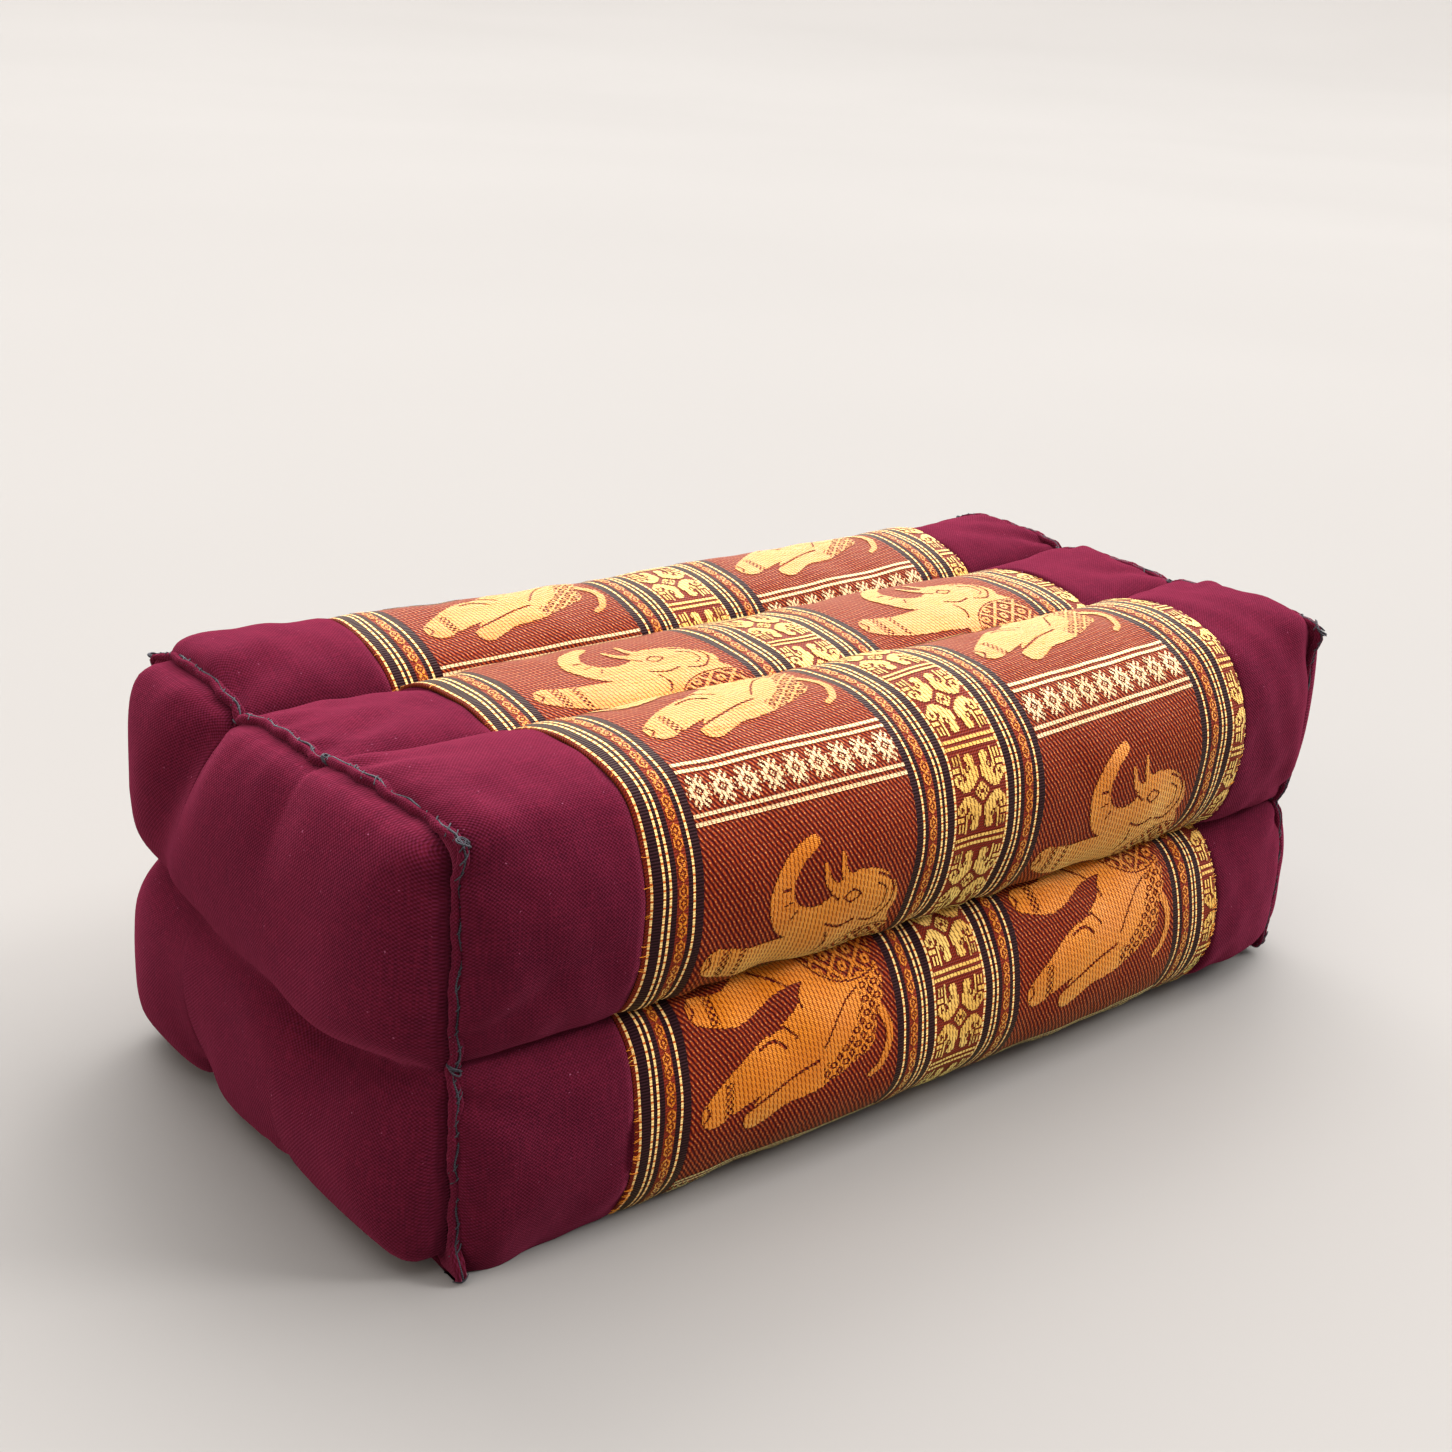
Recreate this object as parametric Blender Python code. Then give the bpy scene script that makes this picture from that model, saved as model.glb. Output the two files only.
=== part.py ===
"""Rectangular block cushion, stuffed as six lengthwise tubes.

Three tubes lie side by side on the bottom and three on top.  The sleeve is plain
cotton at both ends with a patterned brocade panel round its middle.  Each end is
closed with a puffed cotton panel, joined to the sleeve by a raised overcast seam
that stands out in a small ear at every corner.

+X runs along the cushion, -Y is its front long side, +Z is up, and the cushion
rests on z = 0 with its footprint centred on the origin.
"""

from collections import namedtuple

import bmesh
import bpy
import numpy as np

MM = 0.001

# Driving dimensions, in metres
SEAM_TO_SEAM = 335 * MM        # length of the sleeve between the two end seams
BROCADE_WIDTH = 238 * MM       # width of the patterned panel, along the cushion
BROCADE_THICKNESS = 1.0 * MM
CLEARANCE = 0.45 * MM          # gap between pieces that touch on the real cushion
END_PANEL_DEPTH = 2.0 * MM     # end panel, measured along the cushion
END_PANEL_GAP = 1.5 * MM       # its gap to the filling, measured along the cushion
END_CROWN = 20 * MM            # how far the stuffed ends stand past their seams
SEAM_RADIUS = 1.7 * MM         # half the thickness of the overcast seam
SEAM_SET_BACK = 1.0 * MM       # seam centre, back from the edge of the end panel
SEAM_LIFT = 0.5 * MM           # lowest point of the seam, above the floor
EAR = 4.5 * MM                 # how far a corner ear stands out past the seam

# Relief of the stuffed ends: widths and places are shares of the end's width, from the
# front, and depths are shares of the crown
ROW_SQUARENESS = 3.0           # swell of the upper and of the lower row of tubes
WHOLE_SQUARENESS = 3.0         # swell of the whole height, where the crease is soft
WIDTH_SQUARENESS = 5.0         # swell across the width
CREASE_SOFT = 0.55             # how far the crease between the rows fades at its middle
CREASE_SOFT_AT = 0.42
CREASE_SOFT_WIDTH = 0.22
VALLEY_WIDTH = 0.07            # half width of the dents that run down from the grooves
VALLEY_DEEP = 0.30             # dent below the back groove
VALLEY_DEEP_AT = {-1: 0.72, 1: 0.66}
VALLEY_SHALLOW = 0.10          # dent below the front groove
VALLEY_SHALLOW_AT = 0.41
VALLEY_LOWER_ROW = 0.25        # share of a dent that the lower row keeps

# Cross-sections of the stuffed sleeve, one row each, sizes in millimetres.
#   front, back   furthest reach of the long sides, in Y
#   under, top    lowest and highest reach of the outer tubes, in Z
#   near_top      crest of the front upper tube, mid_top that of the middle one
#   crease        height of the crease along each long side
#   groove_f/b    Y of the two lengthwise grooves, front and back
#   dip_f/b       depth of those grooves below the crest
#   pinch         depth of the side creases
#   crest_f/b     Y of the crest line of the outer tubes
#   squareness    exponent of the shoulder curve, 2 round and 8 nearly square
Section = namedtuple("Section", (
    "front back under top near_top mid_top crease groove_f groove_b "
    "dip_f dip_b pinch crest_f crest_b squareness"))

#
# The seams draw the sleeve in over a short way.  Past that it has its band section,
# which swells to the middle one.
LEFT_SEAM = Section(
    front=-75.5, back=83, under=3.5, top=121.5, near_top=122.5, mid_top=119.5, crease=60,
    groove_f=-13, groove_b=36.5, dip_f=2.5, dip_b=9, pinch=2,
    crest_f=-46.5, crest_b=61.5, squareness=8)
LEFT_BAND = Section(
    front=-80.5, back=89, under=-8, top=129.5, near_top=129.5, mid_top=120.5, crease=61,
    groove_f=-13, groove_b=36.5, dip_f=9, dip_b=17, pinch=6,
    crest_f=-53, crest_b=68, squareness=8)
MIDDLE = Section(
    front=-92, back=92, under=-4.5, top=127, near_top=130, mid_top=125.5, crease=61,
    groove_f=-23, groove_b=35, dip_f=10, dip_b=13, pinch=18,
    crest_f=-51.5, crest_b=66, squareness=2.1)
RIGHT_BAND = Section(
    front=-80.5, back=91, under=6.5, top=126.5, near_top=129.5, mid_top=127.5, crease=58,
    groove_f=-18.5, groove_b=35.5, dip_f=4.5, dip_b=4.5, pinch=9,
    crest_f=-49.5, crest_b=57, squareness=8)
RIGHT_SEAM = Section(
    front=-77.5, back=83.5, under=6, top=122.5, near_top=123.5, mid_top=122, crease=58,
    groove_f=-18, groove_b=36, dip_f=3, dip_b=4, pinch=6,
    crest_f=-48.5, crest_b=57.5, squareness=8)

# How soon the sleeve swells from each band to its middle section: higher is sooner
SWELL_LEFT = 2.1
SWELL_RIGHT = 4.6
PULL_IN = 12 * MM              # how far from a seam the sleeve is drawn in by it

# Steps along each quarter curve of a section
STEPS_SIDE = 3
STEPS_SHOULDER = 6
STEPS_INTO_GROOVE = 3
STEPS_MIDDLE_TUBE = 3

# Steps along the cushion: from each seam to the brocade, and across the brocade
STEPS_BAND = 7
STEPS_BROCADE = 12
BAND_SPACING = 1.9             # 1 spaces the band's steps evenly, more crowds them at the seam

SEAM_SIDES = 6                 # faces round the overcast seam
CURVE_SAMPLES = 181            # points read along a curve before it is spaced evenly
MITRE_LIMIT = 0.5              # keeps sharp corners of an offset curve from running out


def quarter(start, end, centre, squareness, steps):
    """Points from start up to but not at end, on a superellipse about centre."""
    centre = np.array(centre, float)
    a = np.array(start) - centre
    b = np.array(end) - centre
    turn = np.linspace(0, np.pi / 2, CURVE_SAMPLES)
    power = 2 / squareness
    curve = centre + np.outer(np.cos(turn) ** power, a) + np.outer(np.sin(turn) ** power, b)
    run = np.concatenate(([0], np.cumsum(np.linalg.norm(np.diff(curve, axis=0), axis=1))))
    at = np.linspace(0, run[-1], steps + 1)[:-1]
    return np.column_stack((np.interp(at, run, curve[:, 0]), np.interp(at, run, curve[:, 1])))


def section_loop(s):
    """Closed (y, z) loop in mm from the front crease: up, back, down and under."""
    upper = (s.top + s.crease) / 2
    lower = (s.under + s.crease) / 2
    middle = (s.groove_f + s.groove_b) / 2
    over_f = s.top - s.dip_f
    over_b = s.top - s.dip_b
    under_f = s.under + s.dip_f
    under_b = s.under + s.dip_b
    front_in = s.front + s.pinch
    back_in = s.back - s.pinch
    side, shoulder, groove, half = (
        STEPS_SIDE, STEPS_SHOULDER, STEPS_INTO_GROOVE, STEPS_MIDDLE_TUBE)
    square = s.squareness
    curves = (
        ((front_in, s.crease), (s.front, upper), (front_in, upper), 2, side),
        ((s.front, upper), (s.crest_f, s.near_top), (s.crest_f, upper), square, shoulder),
        ((s.crest_f, s.near_top), (s.groove_f, over_f), (s.crest_f, over_f), 2, groove),
        ((s.groove_f, over_f), (middle, s.mid_top), (middle, over_f), 2, half),
        ((middle, s.mid_top), (s.groove_b, over_b), (middle, over_b), 2, half),
        ((s.groove_b, over_b), (s.crest_b, s.top), (s.crest_b, over_b), 2, groove),
        ((s.crest_b, s.top), (s.back, upper), (s.crest_b, upper), square, shoulder),
        ((s.back, upper), (back_in, s.crease), (back_in, upper), 2, side),
        ((back_in, s.crease), (s.back, lower), (back_in, lower), 2, side),
        ((s.back, lower), (s.crest_b, s.under), (s.crest_b, lower), square, shoulder),
        ((s.crest_b, s.under), (s.groove_b, under_b), (s.crest_b, under_b), 2, groove),
        ((s.groove_b, under_b), (middle, s.under), (middle, under_b), 2, half),
        ((middle, s.under), (s.groove_f, under_f), (middle, under_f), 2, half),
        ((s.groove_f, under_f), (s.crest_f, s.under), (s.crest_f, under_f), 2, groove),
        ((s.crest_f, s.under), (s.front, lower), (s.crest_f, lower), square, shoulder),
        ((s.front, lower), (front_in, s.crease), (front_in, lower), 2, side),
    )
    return np.vstack([quarter(*curve) for curve in curves])


def moved_inward(loop, distance):
    """The loop moved towards its inside by a distance, mitred at its corners."""
    ahead = np.roll(loop, -1, axis=0) - loop
    ahead /= np.linalg.norm(ahead, axis=1)[:, None]
    inward = np.column_stack((ahead[:, 1], -ahead[:, 0]))
    before = np.roll(inward, 1, axis=0)
    both = inward + before
    spread = np.clip(1 + np.sum(inward * before, axis=1), MITRE_LIMIT, None)
    return loop + distance * both / spread[:, None]


SEAM_LOOPS = {-1: section_loop(LEFT_SEAM) * MM, 1: section_loop(RIGHT_SEAM) * MM}
BAND_LOOPS = {-1: section_loop(LEFT_BAND) * MM, 1: section_loop(RIGHT_BAND) * MM}
MIDDLE_LOOP = section_loop(MIDDLE) * MM


def sleeve_loop(u, inset=0.0):
    """Sleeve section at u, from -1 at the left seam to 1 at the right one."""
    end = -1 if u < 0 else 1
    swell = SWELL_LEFT if u < 0 else SWELL_RIGHT
    full = (1 - abs(u) ** swell) ** 0.5
    loop = BAND_LOOPS[end] * (1 - full) + MIDDLE_LOOP * full
    near = max(0.0, 1 - (1 - abs(u)) * SEAM_TO_SEAM / 2 / PULL_IN)
    drawn = 1 - (1 - near ** 2) ** 0.5
    loop = SEAM_LOOPS[end] * drawn + loop * (1 - drawn)
    if inset:
        loop = moved_inward(loop, inset)
    loop[:, 1] = np.maximum(loop[:, 1], inset)
    return loop


def ring(x, loop):
    """The (y, z) loop as 3-D points at x."""
    return np.column_stack((np.full(len(loop), x), loop))


# Places of the four corners and the sides of the end panel, as steps along a loop
HALF_SHOULDER = STEPS_SHOULDER // 2
ALONG_TOP = 2 * (HALF_SHOULDER + STEPS_INTO_GROOVE + STEPS_MIDDLE_TUBE)
UP_SIDE = 2 * (HALF_SHOULDER + STEPS_SIDE)
FRONT_TOP = STEPS_SIDE + HALF_SHOULDER
BACK_TOP = FRONT_TOP + ALONG_TOP
BACK_LOW = BACK_TOP + UP_SIDE
FRONT_LOW = BACK_LOW + ALONG_TOP
AROUND = 2 * (ALONG_TOP + UP_SIDE)
CORNERS = (FRONT_TOP, BACK_TOP, BACK_LOW, FRONT_LOW % AROUND)


def stretch(loop, first, last):
    """Loop points from step first to step last, both kept."""
    return loop[[i % AROUND for i in range(first, last + 1)]]


def dome(t, squareness):
    """1 at the middle of 0..1 and 0 at its ends."""
    return np.sqrt(np.clip(1 - np.abs(2 * t - 1) ** squareness, 0, 1))


def bump(p, middle, width):
    """1 at the middle, fading to 0 on both sides."""
    return np.exp(-((p - middle) / width) ** 2)


def end_crown(p, q, end):
    """How far the end stands out, 0 to 1, with p from front to back and q upwards."""
    rows = dome(2 * q - (q > 0.5), ROW_SQUARENESS)
    whole = dome(q, WHOLE_SQUARENESS)
    soft = CREASE_SOFT * bump(p, CREASE_SOFT_AT, CREASE_SOFT_WIDTH)
    dent = VALLEY_DEEP * bump(p, VALLEY_DEEP_AT[end], VALLEY_WIDTH)
    dent = dent + VALLEY_SHALLOW * bump(p, VALLEY_SHALLOW_AT, VALLEY_WIDTH)
    reach = np.where(q > 0.5, 2 * q - 1, VALLEY_LOWER_ROW * (1 - 2 * q))
    return dome(p, WIDTH_SQUARENESS) * (rows * (1 - soft) + whole * soft) * (1 - dent * reach)


def end_surface(end, shift):
    """Grid of points over one end, moved towards the middle by shift."""
    loop = SEAM_LOOPS[end].copy()
    loop[:, 1] = np.maximum(loop[:, 1], 0)
    top = stretch(loop, FRONT_TOP, BACK_TOP)
    back = stretch(loop, BACK_TOP, BACK_LOW)[::-1]
    low = stretch(loop, BACK_LOW, FRONT_LOW)[::-1]
    front = stretch(loop, FRONT_LOW, FRONT_LOW + UP_SIDE)
    p = np.linspace(0, 1, ALONG_TOP + 1)[:, None, None]
    q = np.linspace(0, 1, UP_SIDE + 1)[None, :, None]
    grid = (1 - q) * low[:, None] + q * top[:, None]
    grid = grid + (1 - p) * front[None] + p * back[None]
    grid = grid - (1 - p) * ((1 - q) * front[0] + q * front[-1])
    grid = grid - p * ((1 - q) * back[0] + q * back[-1])
    crown = END_CROWN * end_crown(p[:, :, 0], q[:, :, 0], end)
    x = end * (SEAM_TO_SEAM / 2 - shift + crown)
    return np.concatenate((x[:, :, None], grid), axis=2)


def rim_order():
    """(row, column) of the end grid for each step of the loop."""
    order = []
    for step in range(AROUND):
        along = (step - FRONT_TOP) % AROUND
        if along < ALONG_TOP:
            order.append((along, UP_SIDE))
        elif along < ALONG_TOP + UP_SIDE:
            order.append((ALONG_TOP, UP_SIDE - (along - ALONG_TOP)))
        elif along < 2 * ALONG_TOP + UP_SIDE:
            order.append((ALONG_TOP - (along - ALONG_TOP - UP_SIDE), 0))
        else:
            order.append((0, along - 2 * ALONG_TOP - UP_SIDE))
    return order


class Shell:
    """Collects points and quads, then makes one closed object."""

    def __init__(self):
        self.points = []
        self.quads = []

    def add(self, points):
        first = len(self.points)
        self.points.extend(tuple(float(v) for v in point) for point in points)
        return list(range(first, first + len(points)))

    def join_rings(self, a, b):
        count = len(a)
        for i in range(count):
            j = (i + 1) % count
            self.quads.append((a[i], a[j], b[j], b[i]))

    def add_grid(self, grid, rim=None):
        """Adds a grid of points; rim gives points that its edge already has."""
        rows, columns = grid.shape[:2]
        known = dict(zip(rim_order(), rim)) if rim else {}
        index = {}
        for row in range(rows):
            for column in range(columns):
                key = (row, column)
                index[key] = known[key] if key in known else self.add([grid[row, column]])[0]
        for row in range(rows - 1):
            for column in range(columns - 1):
                corners = ((row, column), (row + 1, column), (row + 1, column + 1), (row, column + 1))
                self.quads.append(tuple(index[c] for c in corners))
        return [index[c] for c in rim_order()]

    def make(self, name, material):
        mesh = bpy.data.meshes.new(name)
        mesh.from_pydata(self.points, [], self.quads)
        work = bmesh.new()
        work.from_mesh(mesh)
        bmesh.ops.triangulate(work, faces=work.faces)
        bmesh.ops.recalc_face_normals(work, faces=work.faces)
        work.to_mesh(mesh)
        work.free()
        mesh.shade_smooth()
        mesh.materials.append(material)
        made = bpy.data.objects.new(name, mesh)
        bpy.context.scene.collection.objects.link(made)
        return made


def finish(name, colour, roughness):
    """A Principled material of one linear colour."""
    material = bpy.data.materials.new(name)
    material.use_nodes = True
    shader = material.node_tree.nodes["Principled BSDF"]
    shader.inputs["Base Color"].default_value = (*colour, 1)
    shader.inputs["Roughness"].default_value = roughness
    shader.inputs["Metallic"].default_value = 0.0
    return material


def clear_scene():
    for old in list(bpy.data.objects):
        bpy.data.objects.remove(old, do_unlink=True)


def cushion_body(material):
    """The stuffed solid: plain bands at full size, set back under what is sewn on it."""
    half = SEAM_TO_SEAM / 2
    set_back = END_PANEL_DEPTH + END_PANEL_GAP
    recess = BROCADE_THICKNESS + CLEARANCE
    edge = BROCADE_WIDTH / 2 + CLEARANCE
    shell = Shell()
    # stations are closer together near the seam, where the sleeve swells
    share = np.linspace(0, 1, STEPS_BAND + 1) ** BAND_SPACING
    band_u = 1 - (1 - edge / half) * share
    band_x = (half - set_back) * (1 - share) + edge * share
    middle_x = np.linspace(-edge, edge, STEPS_BROCADE + 1)
    stations = [(-x, -u, 0.0) for x, u in zip(band_x, band_u)]
    stations += [(x, x / half, recess) for x in middle_x]
    stations += [(x, u, 0.0) for x, u in zip(band_x[::-1], band_u[::-1])]
    rings = [shell.add(ring(x, sleeve_loop(u, inset))) for x, u, inset in stations]
    for a, b in zip(rings, rings[1:]):
        shell.join_rings(a, b)
    shell.add_grid(end_surface(-1, set_back), rings[0])
    shell.add_grid(end_surface(1, set_back), rings[-1])
    return shell.make("cushion_body", material)


def brocade_panel(material):
    """The patterned sheet, one closed band round the sleeve's middle."""
    half = SEAM_TO_SEAM / 2
    shell = Shell()
    edge = BROCADE_WIDTH / 2 / half
    outer = []
    inner = []
    for u in np.linspace(-edge, edge, STEPS_BROCADE + 1):
        outer.append(shell.add(ring(u * half, sleeve_loop(u))))
        inner.append(shell.add(ring(u * half, sleeve_loop(u, BROCADE_THICKNESS))))
    for layer in (outer, inner):
        for a, b in zip(layer, layer[1:]):
            shell.join_rings(a, b)
    shell.join_rings(outer[0], inner[0])
    shell.join_rings(outer[-1], inner[-1])
    return shell.make("brocade_panel", material)


def end_panel(name, end, material):
    """The puffed cotton panel that closes one end."""
    shell = Shell()
    outer = shell.add_grid(end_surface(end, 0.0))
    inner = shell.add_grid(end_surface(end, END_PANEL_DEPTH))
    shell.join_rings(outer, inner)
    return shell.make(name, material)


def end_seam(name, end, material):
    """The raised overcast seam round one end, its cloth drawn out to an ear at each corner."""
    loop = SEAM_LOOPS[end].copy()
    path = moved_inward(loop, -(SEAM_RADIUS + CLEARANCE))
    outward = (path - loop) / np.linalg.norm(path - loop, axis=1)[:, None]
    ear = np.zeros(AROUND)
    ear[list(CORNERS)] = EAR
    x = end * (SEAM_TO_SEAM / 2 - SEAM_SET_BACK)
    shell = Shell()
    strands = []
    for side in range(SEAM_SIDES):
        angle = 2 * np.pi * side / SEAM_SIDES
        reach = SEAM_RADIUS * np.cos(angle) + ear * max(0.0, np.cos(angle))
        strand = path + outward * reach[:, None]
        strand[:, 1] = np.maximum(strand[:, 1], SEAM_LIFT)
        strands.append(shell.add(ring(x + SEAM_RADIUS * np.sin(angle), strand)))
    for side in range(SEAM_SIDES):
        shell.join_rings(strands[side], strands[(side + 1) % SEAM_SIDES])
    return shell.make(name, material)


def main():
    clear_scene()
    cotton = finish("plain_cotton", (0.16, 0.012, 0.045), 0.8)
    brocade = finish("patterned_brocade", (0.42, 0.12, 0.03), 0.55)
    thread = finish("seam_thread", (0.06, 0.02, 0.035), 0.8)
    cushion_body(cotton)
    brocade_panel(brocade)
    for name, end in (("left", -1), ("right", 1)):
        end_panel("end_panel_" + name, end, cotton)
        end_seam("end_seam_" + name, end, thread)


main()
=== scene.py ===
"""Rectangular block cushion, dressed for its picture.

Six stuffed tubes in a sleeve of shot cotton, a jacquard brocade panel round its
middle, and puffed cotton ends joined by a raised overcast seam.  Sizes are in
metres, or in millimetres where a table or a drawing says so.
"""

import math
from collections import namedtuple

import bpy
import numpy as np
from mathutils import Euler, Matrix, Vector


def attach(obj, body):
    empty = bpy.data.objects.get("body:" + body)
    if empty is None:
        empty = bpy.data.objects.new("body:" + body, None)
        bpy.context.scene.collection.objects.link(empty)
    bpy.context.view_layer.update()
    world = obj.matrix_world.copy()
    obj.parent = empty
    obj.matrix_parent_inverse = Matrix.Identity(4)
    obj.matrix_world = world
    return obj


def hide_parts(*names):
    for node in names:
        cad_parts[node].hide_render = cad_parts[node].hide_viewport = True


MM = 0.001

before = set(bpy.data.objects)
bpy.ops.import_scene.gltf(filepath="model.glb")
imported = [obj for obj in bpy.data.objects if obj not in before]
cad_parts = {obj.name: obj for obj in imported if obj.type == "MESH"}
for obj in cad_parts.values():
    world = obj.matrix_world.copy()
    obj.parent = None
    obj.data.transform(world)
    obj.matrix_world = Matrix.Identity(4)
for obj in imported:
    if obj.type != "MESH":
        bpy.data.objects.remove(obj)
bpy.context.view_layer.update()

# Driving dimensions, the same as the solids have
SEAM_TO_SEAM = 335 * MM
BROCADE_WIDTH = 238 * MM
BROCADE_THICKNESS = 1.0 * MM
UNDER_BROCADE = 1.45 * MM      # how far the filling is set back below the brocade
END_CROWN = 20 * MM            # how far the ends puff out past their seams
END_THICKNESS = 1.2 * MM
SEAM_LIFT = 0.5 * MM           # the seam just clears the floor
PULL_IN = 12 * MM              # length over which the seam draws the sleeve in
SWELL_LEFT = 2.1               # how late each half swells: higher is fuller near its end
SWELL_RIGHT = 4.6
HALF_LENGTH = SEAM_TO_SEAM / 2
SEAM_LINE = HALF_LENGTH - 0.4 * MM    # where the middle of the seam's two lips lies

# Steps along each quarter curve of a section, about 2 mm apart
STEPS_SIDE = 18
STEPS_SHOULDER = 34
STEPS_INTO_GROOVE = 20
STEPS_MIDDLE_TUBE = 18
STATIONS_BAND = 34
STATIONS_BROCADE = 110
STATIONS_WAIST = 44
CURVE_SAMPLES = 721
WAVE_COUNT = 9                 # sine waves in a field of random dents

Section = namedtuple("Section", (
    "front back under top near_top mid_top crease groove_f groove_b "
    "dip_f dip_b pinch crest_f crest_b squareness"))

# Cross-sections in millimetres, the same rows as the solids have
LEFT_SEAM = Section(
    front=-75.5, back=83, under=3.5, top=121.5, near_top=122.5, mid_top=119.5, crease=60,
    groove_f=-13, groove_b=36.5, dip_f=2.5, dip_b=9, pinch=2,
    crest_f=-46.5, crest_b=61.5, squareness=8)
LEFT_BAND = Section(
    front=-80.5, back=89, under=-8, top=129.5, near_top=129.5, mid_top=120.5, crease=61,
    groove_f=-13, groove_b=36.5, dip_f=9, dip_b=17, pinch=6,
    crest_f=-53, crest_b=68, squareness=8)
MIDDLE = Section(
    front=-92, back=92, under=-4.5, top=127, near_top=130, mid_top=125.5, crease=61,
    groove_f=-23, groove_b=35, dip_f=10, dip_b=13, pinch=18,
    crest_f=-51.5, crest_b=66, squareness=2.1)
RIGHT_BAND = Section(
    front=-80.5, back=91, under=6.5, top=126.5, near_top=129.5, mid_top=127.5, crease=58,
    groove_f=-18.5, groove_b=35.5, dip_f=4.5, dip_b=4.5, pinch=9,
    crest_f=-49.5, crest_b=57, squareness=8)
RIGHT_SEAM = Section(
    front=-77.5, back=83.5, under=6, top=122.5, near_top=123.5, mid_top=122, crease=58,
    groove_f=-18, groove_b=36, dip_f=3, dip_b=4, pinch=6,
    crest_f=-48.5, crest_b=57.5, squareness=8)


# The sleeve's shape

def quarter(start, end, centre, squareness, steps):
    """Points from start up to but not at end, on a superellipse about centre."""
    centre = np.array(centre, float)
    a = np.array(start) - centre
    b = np.array(end) - centre
    turn = np.linspace(0, np.pi / 2, CURVE_SAMPLES)
    power = 2 / squareness
    curve = centre + np.outer(np.cos(turn) ** power, a) + np.outer(np.sin(turn) ** power, b)
    run = np.concatenate(([0], np.cumsum(np.linalg.norm(np.diff(curve, axis=0), axis=1))))
    at = np.linspace(0, run[-1], steps + 1)[:-1]
    return np.column_stack((np.interp(at, run, curve[:, 0]), np.interp(at, run, curve[:, 1])))


def section_loop(s):
    """Closed (y, z) loop in metres from the front crease: up, back, down and under."""
    upper, lower = (s.top + s.crease) / 2, (s.under + s.crease) / 2
    middle = (s.groove_f + s.groove_b) / 2
    # where the quarter curves meet: in turn a crease, crest or middle, and the point
    # furthest out on a side or deepest in a groove
    joints = (
        (s.front + s.pinch, s.crease), (s.front, upper),
        (s.crest_f, s.near_top), (s.groove_f, s.top - s.dip_f),
        (middle, s.mid_top), (s.groove_b, s.top - s.dip_b),
        (s.crest_b, s.top), (s.back, upper),
        (s.back - s.pinch, s.crease), (s.back, lower),
        (s.crest_b, s.under), (s.groove_b, s.under + s.dip_b),
        (middle, s.under), (s.groove_f, s.under + s.dip_f),
        (s.crest_f, s.under), (s.front, lower))
    steps = (STEPS_SIDE, STEPS_SHOULDER, STEPS_INTO_GROOVE, STEPS_MIDDLE_TUBE)
    steps = 2 * (steps + steps[::-1])
    curves = []
    for k, start in enumerate(joints):
        finish = joints[(k + 1) % len(joints)]
        centre = (start[0], finish[1]) if k % 2 == 0 else (finish[0], start[1])
        squareness = s.squareness if steps[k] == STEPS_SHOULDER else 2
        curves.append(quarter(start, finish, centre, squareness, steps[k]))
    return np.vstack(curves) * MM


def unit(rows):
    """Rows of vectors, each made one long."""
    return rows / np.maximum(np.linalg.norm(rows, axis=-1), 1e-9)[..., None]


def moved_inward(loop, distance):
    """The loop moved towards its inside by a distance, mitred at its corners."""
    ahead = unit(np.roll(loop, -1, axis=0) - loop)
    inward = np.column_stack((ahead[:, 1], -ahead[:, 0]))
    before = np.roll(inward, 1, axis=0)
    spread = np.clip(1 + np.sum(inward * before, axis=1), 0.5, None)
    return loop + distance * (inward + before) / spread[:, None]


SEAM_LOOPS = {-1: section_loop(LEFT_SEAM), 1: section_loop(RIGHT_SEAM)}
BAND_LOOPS = {-1: section_loop(LEFT_BAND), 1: section_loop(RIGHT_BAND)}
MIDDLE_LOOP = section_loop(MIDDLE)
AROUND = len(MIDDLE_LOOP)


def run_round(loop):
    """Distance round a closed loop to each of its points, and back to the first."""
    steps = np.linalg.norm(np.roll(loop, -1, axis=0) - loop, axis=1)
    return np.concatenate(([0], np.cumsum(steps)))


ARC = run_round(MIDDLE_LOOP)
GIRTH = ARC[-1]


def sleeve_loop(x, inset=0.0):
    """Sleeve section at x, from the left seam to the right one."""
    end, swell = (-1, SWELL_LEFT) if x < 0 else (1, SWELL_RIGHT)
    u = abs(x) / HALF_LENGTH
    full = max(0.0, 1 - u ** swell) ** 0.5
    loop = BAND_LOOPS[end] * (1 - full) + MIDDLE_LOOP * full
    near = min(1.0, max(0.0, 1 - (1 - u) * HALF_LENGTH / PULL_IN))
    drawn = 1 - (1 - near ** 2) ** 0.5
    loop = SEAM_LOOPS[end] * drawn + loop * (1 - drawn)
    return moved_inward(loop, inset) if inset else loop


def sleeve_grid(stations, inset=0.0):
    """Points of the sleeve, one row for each station along it."""
    return np.array([np.column_stack((np.full(AROUND, x), sleeve_loop(x, inset)))
                     for x in stations])


def facing(grid, closed):
    """Outward unit normals of a grid of points."""
    if closed:
        across = np.roll(grid, -1, axis=1) - np.roll(grid, 1, axis=1)
    else:
        across = np.gradient(grid, axis=1)
    return unit(np.cross(np.gradient(grid, axis=0), across))


# Puckers, tucks and dents

def soft_waves(a, b, size, seed):
    """A smooth random field, about -1 to 1, whose dents are about size across."""
    draw = np.random.default_rng(seed)
    total = np.zeros(np.broadcast(a, b).shape)
    for _ in range(WAVE_COUNT):
        angle = draw.uniform(0, np.pi)
        wave = 2 * np.pi / (size * draw.uniform(0.8, 1.9))
        turn = wave * (a * np.cos(angle) + b * np.sin(angle)) + draw.uniform(0, 2 * np.pi)
        total += np.sin(turn)
    return total / WAVE_COUNT ** 0.5


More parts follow.
